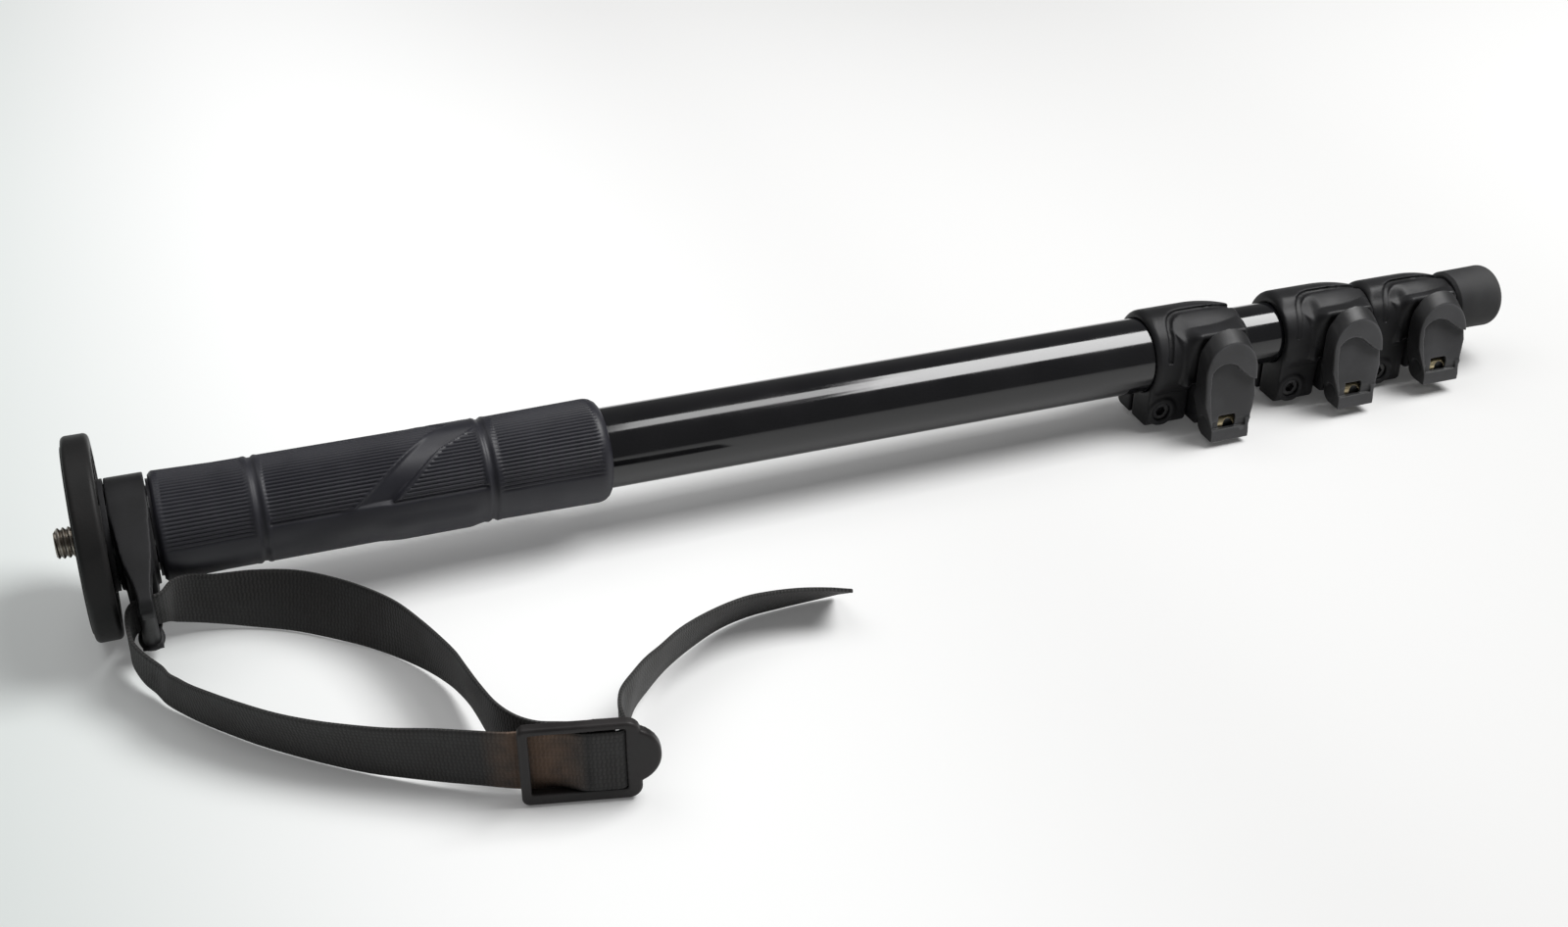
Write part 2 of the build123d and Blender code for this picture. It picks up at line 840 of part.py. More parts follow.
def thumb_dish(top):
    """Thumb recess: deep under the hood, shallow below, open at the lever's far edge."""
    aside = lever_width / 2 + overrun
    high = dish_crown_share * top
    tomb = make_face(
        [
            Line((-dish_edge_low, window_high), (-dish_edge_middle, dish_middle_share * top)),
            Line(
                (-dish_edge_middle, dish_middle_share * top),
                (-dish_edge_high, dish_side_share * top),
            ),
            ThreePointArc(
                (-dish_edge_high, dish_side_share * top),
                (-dish_crown, high),
                (dish_fall, dish_fall_share * top),
            ),
            Line((dish_fall, dish_fall_share * top), (dish_open, dish_open_shares[0] * top)),
            Line((dish_open, dish_open_shares[0] * top), (aside, dish_open_shares[1] * top)),
            Line((aside, dish_open_shares[1] * top), (aside, window_high)),
            Line((aside, window_high), (-dish_edge_low, window_high)),
        ]
    )
    clear = -lever_front - overrun
    side = outline(
        (clear, window_high),
        (front_at(window_high, top) + dish_depth_low, window_high),
        (front_at(high, top) + dish_depth_high, high),
        (clear, high),
    )
    return across(side, -aside, aside) & through(tomb, clear, cam_radius)


def lever_cavity(top):
    """Pocket behind the lever's skin, open below so that the bolt can swing through it."""
    half = cavity_width / 2
    pocket = top - pocket_below_top
    low_skin = front_at(window_high, top) + dish_depth_low + lever_skin
    high_skin = front_at(pocket, top) + dish_depth_high + lever_skin
    side = outline(
        (cam_radius + overrun, -cam_radius - overrun),
        (-barrel_radius - lever_bar_play, -cam_radius - overrun),
        (-barrel_radius - lever_bar_play, window_high),
        (low_skin, window_high),
        (high_skin, pocket),
        (cam_radius + overrun, pocket),
    )
    return across(side, -half, half)


def lock_lever(lock):
    """Cam lever with its hood, thumb dish, slot and the notch over the barrel nut."""
    top = lock.lever_top - lock.pivot_z
    clear = -lever_front - overrun
    lever = lever_form(top) - thumb_dish(top) - lever_cavity(top)
    lever -= block((-slot_near, clear, -window_low), (slot_far, -slot_floor, window_high))
    lever -= block((-notch_near, clear, -notch_low), (notch_far, 0, notch_high))
    aside = lever_width / 2 + overrun
    lever -= rod(-aside, aside, barrel_radius + barrel_play)
    return Pos(lock.lever_x, lock.pivot_y, lock.pivot_z) * lever


def foot_plug():
    bore = tube_radii[3] - tube_wall
    body = rod(last_tube_end - foot_plug_length, last_tube_end + fit_gap, bore - fit_gap)
    return body + rod(last_tube_end + fit_gap, last_tube_end + foot_plug_head, tube_radii[3])


def rubber_foot():
    """Rubber foot with a slight flare and a domed end."""
    seat = tube_radii[3] + fit_gap
    depth = last_tube_end + foot_plug_head + fit_gap
    edges = [
        Line((foot_start, seat), (foot_start, foot_radius - foot_dome / 4)),
        Line((foot_start, foot_radius - foot_dome / 4), (foot_start + foot_dome / 4, foot_radius)),
        Line((foot_start + foot_dome / 4, foot_radius), (foot_end - foot_dome, foot_flare)),
        TangentArc(
            (foot_end - foot_dome, foot_flare),
            (foot_end - foot_dome / 4, foot_flare - foot_dome),
            tangent=(1, 0),
        ),
        Line((foot_end - foot_dome / 4, foot_flare - foot_dome), (foot_end, foot_tip_radius)),
        Line((foot_end, foot_tip_radius), (foot_end, 0)),
        Line((foot_end, 0), (depth, 0)),
        Line((depth, 0), (depth, seat)),
        Line((depth, seat), (foot_start, seat)),
    ]
    return turned(edges)


lie_drop = plate_radius - lug_drop
lie_run = locks[2].start + lug_length - plate_back + plate_rim_round
lie_angle = degrees(atan(lie_drop / lie_run))
rim_edge = plate_back - plate_rim_round
table_level = -rim_edge * sin(radians(lie_angle)) - plate_radius * cos(radians(lie_angle))


def buckle_place():
    x, y = (share * webbing_width for share in buckle_place_shares)
    return Pos(x, y, table_level + fit_gap) * Rot(0, 0, buckle_turn_angle)


def strap_buckle():
    """Ladder buckle: outer frame with a rounded thumb tab, and a low middle bar."""
    face = outline((0, 0), (buckle_end, 0), (buckle_end, buckle_height), (0, buckle_height))
    corners = face.vertices().sort_by(Axis.X)
    face = fillet(corners[:2], buckle_corner)
    face = fillet(face.vertices().sort_by(Axis.X)[-2:], buckle_far_corner)
    tab_middle = buckle_end + buckle_tab_reach - buckle_tab_radius
    face += Pos(tab_middle, buckle_tab_share * buckle_height) * Circle(buckle_tab_radius)
    frame = through(face, 0, buckle_thickness)
    frame = chamfer(frame.edges().group_by(Axis.Y)[0], buckle_edge)
    low = buckle_low_bar
    high = low + gate_height
    clear = -overrun
    back = buckle_thickness + overrun
    frame -= block((buckle_left_bar, clear, low), (buckle_middle_start, back, high))
    frame -= block((buckle_middle_end, clear, low), (buckle_tab_start, back, high))
    frame -= block(
        (buckle_middle_start - overrun, clear, low),
        (buckle_middle_end + overrun, buckle_middle_front, high),
    )
    return buckle_place() * frame


def bar_place():
    """Middle of the laid collar's bar, with +Z down along it and +Y away from the axis."""
    return Rot(0, lie_angle, 0) * collar_tilt() * Pos((collar_start + collar_end) / 2, bar_distance, 0)


def level_rows(shares, lift):
    """Lower and upper edge of the webbing where it runs over the level or climbs from it."""
    rows = []
    for x, y, rise, lean_x, lean_y in shares:
        up = sqrt(1 - lean_x**2 - lean_y**2)
        low = Vector(x * webbing_width, y * webbing_width, table_level + rise * lift)
        rows.append((low, low + Vector(lean_x, lean_y, up) * webbing_width))
    return rows


def bar_rows():
    """Both edges of the webbing where it lies round the bar."""
    half = webbing_width / 2
    rows = []
    for along, inward in bar_turn_shares:
        x = along * turn_radius
        y = -inward * turn_radius
        rows.append([(bar_place() * Pos(x, y, end)).position for end in (half, -half)])
    return rows


def webbing_rows():
    """Both edges of the webbing at each point of its route, end to end."""
    gate_lift = fit_gap + buckle_low_bar + webbing_play / 2
    bar_lift = (bar_place() * Pos(0, 0, webbing_width / 2)).position.Z - table_level
    rows = level_rows(back_run_shares, gate_lift) + level_rows(climb_shares, bar_lift)
    rows += bar_rows() + level_rows(descent_shares, bar_lift)
    return rows + level_rows(front_run_shares, gate_lift) + level_rows(tail_shares, gate_lift)


def wrist_strap():
    """One length of webbing: back run, turn round the bar, front run, buckle and tail."""
    rows = webbing_rows()
    centres = [(low + high) / 2 for low, high in rows]
    sections = []
    for index, (low, high) in enumerate(rows):
        before = centres[max(index - 1, 0)]
        after = centres[min(index + 1, len(rows) - 1)]
        aside = (after - before).cross(high - low).normalized() * (webbing_thickness / 2)
        corners = [low - aside, high - aside, high + aside, low + aside]
        sections.append(Wire(Polyline(*corners, close=True).edges()))
    return loft([make_face(section.edges()) for section in sections], ruled=True)


def laid(shape):
    return Rot(0, lie_angle, 0) * shape


def build():
    laid_nodes = {
        "camera_plate": camera_plate(),
        "plate_pad": plate_pad(),
        "camera_stud": camera_stud(),
        "plate_screws": plate_screws(),
        "top_hub": top_hub(),
        "grip": grip(),
        "strap_collar": strap_collar(),
        "foot_plug": foot_plug(),
        "rubber_foot": rubber_foot(),
    }
    for number in range(4):
        laid_nodes[f"tube_{number + 1}"] = tube(number)
    for number in range(1, 4):
        laid_nodes[f"guide_{number + 1}"] = guide(number)
    for number, lock in enumerate(locks, start=1):
        laid_nodes[f"lock_body_{number}"] = lock_body(lock)
        laid_nodes[f"lock_lever_{number}"] = lock_lever(lock)
        laid_nodes[f"barrel_nut_{number}"] = barrel_nut(lock)
        laid_nodes[f"clamp_bolt_{number}"] = clamp_bolt(lock)
        laid_nodes[f"fixing_screw_{number}"] = fixing_screw(lock)
    nodes = {name: laid(shape) for name, shape in laid_nodes.items()}
    nodes["strap_buckle"] = strap_buckle()
    nodes["wrist_strap"] = wrist_strap()
    return nodes


for name, shape in build().items():
    export_step(shape, f"parts/{name}.step")
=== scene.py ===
# %% [markdown]
# # Dressing a camera monopod
# The mechanical model arrives as fixed CAD nodes in metres: tubes, flip locks, levers, platform
# and buckle. This notebook gives them real finishes and softens the edges of the mouldings. It
# also adds the pieces that CAD leaves plain: the ribbed rubber grip, the stud's thread and the
# woven wrist strap.

# %% Load the fixed frame
import bpy
import json
import math
import numpy as np
from mathutils import Matrix, Vector, kdtree


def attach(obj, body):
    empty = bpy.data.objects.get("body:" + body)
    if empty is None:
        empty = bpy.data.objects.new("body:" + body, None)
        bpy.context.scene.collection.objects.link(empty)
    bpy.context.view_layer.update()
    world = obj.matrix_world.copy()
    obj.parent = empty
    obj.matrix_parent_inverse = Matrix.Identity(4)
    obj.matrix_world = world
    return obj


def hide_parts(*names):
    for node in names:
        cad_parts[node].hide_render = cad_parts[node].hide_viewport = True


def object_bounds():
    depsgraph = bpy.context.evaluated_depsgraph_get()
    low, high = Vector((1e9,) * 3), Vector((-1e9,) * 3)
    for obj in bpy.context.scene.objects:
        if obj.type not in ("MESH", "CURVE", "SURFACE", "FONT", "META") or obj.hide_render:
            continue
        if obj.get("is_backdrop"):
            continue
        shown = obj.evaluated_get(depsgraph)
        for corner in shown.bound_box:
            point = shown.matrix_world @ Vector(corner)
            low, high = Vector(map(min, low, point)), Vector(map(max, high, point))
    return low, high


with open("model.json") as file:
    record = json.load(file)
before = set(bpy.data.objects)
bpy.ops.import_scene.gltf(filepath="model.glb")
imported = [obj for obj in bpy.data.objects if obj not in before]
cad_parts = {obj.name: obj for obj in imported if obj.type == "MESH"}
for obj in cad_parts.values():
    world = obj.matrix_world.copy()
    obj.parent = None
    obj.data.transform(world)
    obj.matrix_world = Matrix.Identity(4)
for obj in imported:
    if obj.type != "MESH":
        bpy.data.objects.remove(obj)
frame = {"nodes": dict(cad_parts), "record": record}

nodes = frame["nodes"]
cad_low, cad_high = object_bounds()
MM = 0.001
print("CAD box in mm:", [round((b - a) / MM, 1) for a, b in zip(cad_low, cad_high)])

# %% [markdown]
# ## The monopod's own line
# The monopod lies on its platform's rim and its last lock, so its axis dips by just under a
# degree. Round pieces are easiest to model along a level axis, with station 0 at the platform's
# face. One small turn about Y then lays each of them on the table beside the CAD nodes.

# %% Lay a piece down as the monopod lies
LIE = math.radians(0.95878)
lay_down = Matrix.Rotation(LIE, 4, "Y")
raise_up = lay_down.inverted()


def lay_piece(piece):
    """Turns a finished piece's mesh with the monopod; its object stays at the origin."""
    piece.data.transform(lay_down)
    piece.data.update()


# %% Helpers that add and edit pieces
def add_piece(name, mesh):
    """New object in the scene for a mesh."""
    piece = bpy.data.objects.new(name, mesh)
    bpy.context.scene.collection.objects.link(piece)
    return piece


def only(piece):
    """Makes one object the only one selected, ready for operators."""
    if bpy.context.object and bpy.context.object.mode != "OBJECT":
        bpy.ops.object.mode_set(mode="OBJECT")
    bpy.ops.object.select_all(action="DESELECT")
    piece.select_set(True)
    bpy.context.view_layer.objects.active = piece


def edit_all(piece):
    """Opens one piece for editing, with all of it selected."""
    only(piece)
    bpy.ops.object.mode_set(mode="EDIT")
    bpy.ops.mesh.select_all(action="SELECT")


def spun(piece, steps, merge):
    """Spins a profile round the X axis, joins the seam and turns the faces outwards."""
    edit_all(piece)
    bpy.ops.mesh.spin(steps=steps, angle=2 * math.pi, center=(0, 0, 0), axis=(1, 0, 0))
    bpy.ops.mesh.select_all(action="SELECT")
    bpy.ops.mesh.remove_doubles(threshold=merge)
    bpy.ops.mesh.normals_make_consistent(inside=False)
    bpy.ops.object.mode_set(mode="OBJECT")


def ease(value, low, high):
    """Goes smoothly from 0 at low to 1 at high."""
    t = np.clip((value - low) / (high - low), 0, 1)
    return t * t * (3 - 2 * t)


bpy.ops.object.select_all(action="DESELECT")


# %% Helpers that add shader nodes to a tree
def feed(tree, socket, value):
    """Links an input to another node's output, or sets it to a plain value."""
    if isinstance(value, bpy.types.NodeSocket):
        tree.links.new(value, socket)
    else:
        socket.default_value = value


def maths(tree, operation, first, second=None, third=None, clamp=False):
    """One Math node, fed by sockets or numbers."""
    node = tree.nodes.new("ShaderNodeMath")
    node.operation = operation
    node.use_clamp = clamp
    for index, value in enumerate((first, second, third)):
        if value is not None:
            feed(tree, node.inputs[index], value)
    return node.outputs["Value"]


def ranged(tree, value, before, after=(0.0, 1.0), smooth=False):
    """Carries a value over from one pair of limits to another."""
    node = tree.nodes.new("ShaderNodeMapRange")
    if smooth:
        node.interpolation_type = "SMOOTHSTEP"
    for title, limit in zip(("From Min", "From Max", "To Min", "To Max"), (*before, *after)):
        node.inputs[title].default_value = limit
    feed(tree, node.inputs["Value"], value)
    return node.outputs["Result"]


def mixed(tree, factor, first, second, blend="MIX"):
    """Mix of two colours."""
    node = tree.nodes.new("ShaderNodeMix")
    node.data_type = "RGBA"
    node.blend_type = blend
    for title, value in (("Factor", factor), ("A", first), ("B", second)):
        feed(tree, node.inputs[title], value)
    return node.outputs["Result"]


def scaled(tree, colour, factor):
    """A colour times a number."""
    node = tree.nodes.new("ShaderNodeVectorMath")
    node.operation = "SCALE"
    feed(tree, node.inputs[0], colour)
    feed(tree, node.inputs["Scale"], factor)
    return node.outputs["Vector"]


def parts_of(tree, vector):
    """The X, Y and Z sockets of a vector."""
    node = tree.nodes.new("ShaderNodeSeparateXYZ")
    tree.links.new(vector, node.inputs[0])
    return node.outputs


def coordinate(tree, kind):
    """One of the texture coordinates, such as Object or Normal."""
    return tree.nodes.new("ShaderNodeTexCoord").outputs[kind]


# %% [markdown]
# ## The camera
# The photograph looks down on the monopod from its platform's side, about 32 degrees below
# level and 20 degrees round towards the foot. The stud's size and the table's two vanishing
# directions fix the camera's place; a 45 mm lens on a 36 mm sensor gives its angle of view.

# %% Set up the camera
LOOK_DOWN, LOOK_ROUND = 32.14, 20.43
camera_data = bpy.data.cameras.new("photo_camera")
camera = add_piece("photo_camera", camera_data)
camera_data.lens = 45.0
camera_data.sensor_width = 36.0
camera_data.clip_start = 0.01
camera_data.clip_end = 50.0
camera.location = (0.02927, -0.52838, 0.33196)
camera.rotation_euler = (math.radians(90 - LOOK_DOWN), 0, math.radians(-LOOK_ROUND))
bpy.context.scene.camera = camera
print("camera stands", round(camera.location.length, 3), "m from the stud")

# %% [markdown]
# ## Floor and light
# The object lies on a pale seamless sheet. A soft box above its lower half draws the bright line
# along the gloss tube, a narrow one carries that line on towards the grip, and a weak one fills
# the left. The sheet is darker under the soft box, so that its light doesn't burn it out, and
# darker and a little greener at the left, a painted shade.

# %% Pale floor, its tone changing from left to right, with painted shade at the left
FLOOR_SIZE, FLOOR_GAP = 8, 0.0002
TONE_LEFT, TONE_RIGHT = -0.2, 0.8
# The first tone, darker and greener, is painted shade at the left of the sheet.
PAPER_TONES_AND_SHADE = [
    (0.10, (0.60, 0.655, 0.635)), (0.30, (0.86, 0.865, 0.86)),
    (0.52, (0.68, 0.68, 0.675)), (0.78, (0.57, 0.57, 0.565)),
]
bpy.ops.mesh.primitive_plane_add(size=FLOOR_SIZE, location=(0, 0, 0))
floor = bpy.context.object
floor.name = "paper_floor"
floor.data.transform(Matrix.Translation((0.3, 1.0, cad_low[2] - FLOOR_GAP)))
paper = bpy.data.materials.new("white_paper")
paper.use_nodes = True
tree = paper.node_tree
shader = tree.nodes["Principled BSDF"]
shader.inputs["Roughness"].default_value = 0.75
shader.inputs["Specular IOR Level"].default_value = 0.25
place = parts_of(tree, coordinate(tree, "Object"))
tone = tree.nodes.new("ShaderNodeValToRGB")
ramp = tone.color_ramp
ramp.interpolation = "EASE"
ramp.elements[0].position = PAPER_TONES_AND_SHADE[0][0]
ramp.elements[1].position = PAPER_TONES_AND_SHADE[-1][0]
for position, _ in PAPER_TONES_AND_SHADE[1:-1]:
    ramp.elements.new(position)
for element, (_, colour) in zip(ramp.elements, PAPER_TONES_AND_SHADE):
    element.color = (*colour, 1)
feed(tree, tone.inputs["Fac"], ranged(tree, place["X"], (TONE_LEFT, TONE_RIGHT)))
tree.links.new(tone.outputs["Color"], shader.inputs["Base Color"])
floor.data.materials.append(paper)
floor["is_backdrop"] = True

# %% Let the camera see the sheet as pale as the photograph's
seen = tree.nodes.new("ShaderNodeLightPath").outputs
mirrored = maths(tree, "MAXIMUM", seen["Is Glossy Ray"], seen["Is Transmission Ray"])
shown = maths(tree, "MAXIMUM", seen["Is Camera Ray"], mirrored)
at_left = ranged(tree, place["X"], (0.08, 0.50), (0.12, 0.02), smooth=True)
far_off = ranged(tree, place["Y"], (-0.3, 0.4), (-0.04, 0.12), smooth=True)
veil = maths(tree, "ADD", at_left, far_off, clamp=True)
feed(tree, shader.inputs["Emission Strength"], maths(tree, "MULTIPLY", veil, shown))
shader.inputs["Emission Color"].default_value = (1, 1, 1, 1)


# %% Soft boxes and a pale room
def soft_box(name, place, size, power, aim):
    """An area lamp, its size in metres and its power in watts, that looks at a point."""
    lamp = bpy.data.lights.new(name, "AREA")
    lamp.shape = "RECTANGLE"
    lamp.size, lamp.size_y = size
    lamp.energy = power
    holder = add_piece(name, lamp)
    holder.location = place
    holder.rotation_euler = (Vector(aim) - Vector(place)).to_track_quat("-Z", "Y").to_euler()


soft_box("top_box", (1.01, -0.12, 1.0), (0.75, 0.70), 19.0, (0.96, -0.12, 0))
soft_box("end_box", (0.54, -0.12, 1.0), (0.35, 0.24), 1.8, (0.52, -0.12, 0))
soft_box("fill_box", (-0.3, 0.5, 1.4), (1.2, 1.2), 5.5, (0.1, 0.3, 0))
room = bpy.data.worlds.new("pale_room")
room.use_nodes = True
room.node_tree.nodes["Background"].inputs["Color"].default_value = (1, 1, 1, 1)
room.node_tree.nodes["Background"].inputs["Strength"].default_value = 0.16
bpy.context.scene.world = room
bpy.context.scene.view_settings.view_transform = "Standard"

# %% [markdown]
# ## Shared surface effects
# Almost everything here is black, so the finishes differ by their grain, their gloss and the
# traces of handling. Two node groups hold those effects: a fine moulding grain with softly
# rounded edges that catch the light, and a patchy change of tone and gloss.

# %% Helper that starts a node group
FLOAT, COLOUR, VECTOR = "NodeSocketFloat", "NodeSocketColor", "NodeSocketVector"


def new_group(name, inputs, outputs):
    """Node group with its named sockets, and its own input and output nodes."""
    group = bpy.data.node_groups.new(name, "ShaderNodeTree")
    for title, kind, value in inputs:
        socket = group.interface.new_socket(title, in_out="INPUT", socket_type=kind)
        socket.default_value = value
    for title, kind in outputs:
        group.interface.new_socket(title, in_out="OUTPUT", socket_type=kind)
    start = group.nodes.new("NodeGroupInput")
    end = group.nodes.new("NodeGroupOutput")
    return group, start.outputs, end.inputs


# %% Grain of a spark-eroded mould, with softly rounded edges
grain_group, given, result = new_group(
    "moulding_grain",
    [("Scale", FLOAT, 2200.0), ("Depth", FLOAT, 0.15), ("Edge", FLOAT, 0.0004)],
    [("Normal", VECTOR), ("Rim", FLOAT)],
)
links = grain_group.links
speckle = grain_group.nodes.new("ShaderNodeTexNoise")
speckle.inputs["Detail"].default_value = 2.0
rounded = grain_group.nodes.new("ShaderNodeBevel")
rounded.samples = 6
bump = grain_group.nodes.new("ShaderNodeBump")
bump.inputs["Distance"].default_value = 0.0001
plain = grain_group.nodes.new("ShaderNodeNewGeometry")
facing = grain_group.nodes.new("ShaderNodeVectorMath")
facing.operation = "DOT_PRODUCT"
links.new(coordinate(grain_group, "Object"), speckle.inputs["Vector"])
links.new(given["Scale"], speckle.inputs["Scale"])
links.new(given["Edge"], rounded.inputs["Radius"])
links.new(rounded.outputs["Normal"], bump.inputs["Normal"])
links.new(speckle.outputs["Fac"], bump.inputs["Height"])
links.new(given["Depth"], bump.inputs["Strength"])
links.new(bump.outputs["Normal"], result["Normal"])
links.new(rounded.outputs["Normal"], facing.inputs[0])
links.new(plain.outputs["Normal"], facing.inputs[1])
links.new(ranged(grain_group, facing.outputs["Value"], (0.995, 0.85)), result["Rim"])

# %% Patches of handling and dust
patch_group, given, result = new_group(
    "handling_patches",
    [
        ("Clean", COLOUR, (0.03, 0.03, 0.03, 1)),
        ("Handled", COLOUR, (0.05, 0.05, 0.05, 1)),
        ("Scale", FLOAT, 60.0),
        ("Roughness", FLOAT, 0.45),
        ("Spread", FLOAT, 0.12),
    ],
    [("Color", COLOUR), ("Roughness", FLOAT)],
)
links = patch_group.links
cloud = patch_group.nodes.new("ShaderNodeTexNoise")
cloud.inputs["Detail"].default_value = 5.0
links.new(coordinate(patch_group, "Object"), cloud.inputs["Vector"])
links.new(given["Scale"], cloud.inputs["Scale"])
touched = ranged(patch_group, cloud.outputs["Fac"], (0.38, 0.70))
links.new(mixed(patch_group, touched, given["Clean"], given["Handled"]), result["Color"])
gloss = maths(patch_group, "MULTIPLY_ADD", touched, given["Spread"], given["Roughness"])
links.new(gloss, result["Roughness"])


# %% A moulded or lacquered finish from the two groups
def patches_in(tree, clean, handled, scale, gloss):
    """The handling_patches group in a tree, with its values; gives its output sockets."""
    patches = tree.nodes.new("ShaderNodeGroup")
    patches.node_tree = patch_group
    patches.inputs["Clean"].default_value = (*clean, 1)
    patches.inputs["Handled"].default_value = (*handled, 1)
    patches.inputs["Scale"].default_value = scale
    patches.inputs["Roughness"].default_value = gloss[0]
    patches.inputs["Spread"].default_value = gloss[1]
    return patches.outputs


RIM_PALER = 2.2


def finish_material(
    name, clean, handled, gloss, grain, edge=0.0004, worn=0.4, level=0.3, metallic=0.0, scale=60.0
):
    """Principled material: patchy tone and gloss, fine grain, edges worn and painted paler as a
    highlight.
    """
    material = bpy.data.materials.new(name)
    material.use_nodes = True
    tree = material.node_tree
    shader = tree.nodes["Principled BSDF"]
    shader.inputs["Metallic"].default_value = metallic
    shader.inputs["Specular IOR Level"].default_value = level
    patches = patches_in(tree, clean, handled, scale, gloss)
    mould = tree.nodes.new("ShaderNodeGroup")
    mould.node_tree = grain_group
    mould.inputs["Scale"].default_value = grain[0]
    mould.inputs["Depth"].default_value = grain[1]
    mould.inputs["Edge"].default_value = edge
    # The rims are paler as wear and as a painted highlight.
    rim_wear_and_highlight = maths(tree, "MULTIPLY", mould.outputs["Rim"], worn)
    rim_tone = (*[min(1.0, RIM_PALER * tone) for tone in handled], 1)
    colour = mixed(tree, rim_wear_and_highlight, patches["Color"], rim_tone)
    tree.links.new(colour, shader.inputs["Base Color"])
    tree.links.new(patches["Roughness"], shader.inputs["Roughness"])
    tree.links.new(mould.outputs["Normal"], shader.inputs["Normal"])
    return material


# %% [markdown]
# ## The finishes
# The platform is black aluminium, the locks are glass filled nylon with a dry grain, the levers
# are a little smoother, and the tube is gloss lacquer. Rubber on the grip and foot is the
# softest: dark, rough and a little dusty. Each finish gives two tones, its gloss and how much
# that changes, and the grain's size and depth. Some also give the width of the rounded edge,
# how far that edge is worn and painted paler as a highlight, the strength of its shine, and the
# size of the patches.

# %% Make the finishes
finishes = {
    "plate_black": finish_material(
        "platform_black", (0.009, 0.009, 0.009), (0.016, 0.015, 0.015), (0.46, 0.16), (1800, 0.30),
        level=0.24,
    ),
    "pad_rubber": finish_material(
        "pad_rubber", (0.014, 0.014, 0.014), (0.024, 0.024, 0.024), (0.70, 0.10), (1400, 0.40),
        edge=0.0002,
    ),
    "stud_steel": finish_material(
        "stud_steel", (0.42, 0.39, 0.35), (0.22, 0.19, 0.16), (0.26, 0.22), (900, 0.15),
        edge=0.0001, worn=0.2, level=0.5, metallic=1.0, scale=300,
    ),
    "screw_black": finish_material(
        "screw_black", (0.03, 0.03, 0.032), (0.08, 0.08, 0.08), (0.34, 0.16), (1500, 0.20),
        edge=0.0002, worn=0.5, level=0.5, metallic=0.7, scale=400,
    ),
    "moulding_black": finish_material(
        "collar_black", (0.008, 0.008, 0.0085), (0.015, 0.015, 0.016), (0.44, 0.16), (2200, 0.25),
        edge=0.0003, level=0.22,
    ),
    "grip_rubber": finish_material(
        "grip_rubber", (0.0135, 0.0135, 0.0195), (0.022, 0.022, 0.029), (0.44, 0.16), (2600, 0.20),
        edge=0.0001, worn=0.2, level=0.45,
    ),
    "buckle_black": finish_material(
        "buckle_black", (0.009, 0.008, 0.008), (0.017, 0.015, 0.015), (0.40, 0.16), (2400, 0.20),
        edge=0.0003,
    ),
    "foot_rubber": finish_material(
        "foot_rubber", (0.020, 0.020, 0.021), (0.040, 0.040, 0.040), (0.66, 0.14), (1500, 0.35),
        edge=0.0005,
    ),
    "tube_black": finish_material(
        "tube_lacquer", (0.004, 0.004, 0.005), (0.006, 0.006, 0.007), (0.09, 0.05), (500, 0.02),
        edge=0.0003, worn=0.1, level=0.62,
    ),
    "guide_white": finish_material(
        "guide_white", (0.62, 0.62, 0.58), (0.50, 0.50, 0.46), (0.45, 0.15), (1200, 0.10),
        edge=0.0003, worn=0.1, level=0.5,
    ),
    "lock_black": finish_material(
        "lock_black", (0.006, 0.006, 0.0065), (0.011, 0.011, 0.012), (0.42, 0.16), (2400, 0.35),
        edge=0.0003, level=0.22,
    ),
    "lever_black": finish_material(
        "lever_black", (0.027, 0.027, 0.028), (0.043, 0.043, 0.045), (0.36, 0.20), (2600, 0.25),
        edge=0.0003,
    ),
    "brass": finish_material(
        "turned_brass", (0.62, 0.53, 0.34), (0.40, 0.33, 0.20), (0.32, 0.20), (900, 0.15),
        edge=0.0002, worn=0.2, level=0.5, metallic=1.0, scale=300,
    ),
}


# %% Helpers that change a finish's colour
def base_colour(slot):
    """A finish's tree, its shader's colour input, and the socket that feeds it now."""
    tree = finishes[slot].node_tree
    socket = tree.nodes["Principled BSDF"].inputs["Base Color"]
    return tree, socket, socket.links[0].from_socket


GAP_MARK, GAP_SHARE = "closeness", 0.14


def shaded_by_gap(tree, colour):
    """Painted shade between parts: the colour falls to GAP_SHARE of itself where the mesh's mark
    of closeness reaches 1.
    """
    mark = tree.nodes.new("ShaderNodeAttribute")
    mark.attribute_name = GAP_MARK
    return scaled(tree, colour, ranged(tree, mark.outputs["Fac"], (0.0, 1.0), (1.0, GAP_SHARE)))


# %% Paint the softened mouldings' rims paler, as wear and a painted highlight, and their hollows darker as painted shade
HOLLOW, RIM = 0.44, 0.56
WEAR_HIGHLIGHT_AND_SHADE = {
    "lever_black": (0.35, 2.4), "lock_black": (0.40, 2.2),
    "buckle_black": (0.45, 2.2), "moulding_black": (0.45, 2.2),
}
for slot, shares in WEAR_HIGHLIGHT_AND_SHADE.items():
    tree, socket, colour = base_colour(slot)
    form = tree.nodes.new("ShaderNodeNewGeometry")
    share = ranged(tree, form.outputs["Pointiness"], (HOLLOW, RIM), shares)
    # Painted shade also darkens them where two parts lie close.
    tree.links.new(shaded_by_gap(tree, scaled(tree, colour, share)), socket)

# %% Paint shade on the levers' tops and on their sides towards the platform, close to the lock
tree, socket, colour = base_colour("lever_black")
facing = parts_of(tree, coordinate(tree, "Normal"))
top_share = ranged(tree, facing["Z"], (0.42, 0.75), (1.0, 0.25), smooth=True)
side_share = ranged(tree, facing["X"], (-0.45, -0.85), (1.0, 0.35), smooth=True)
tree.links.new(scaled(tree, colour, maths(tree, "MULTIPLY", top_share, side_share)), socket)

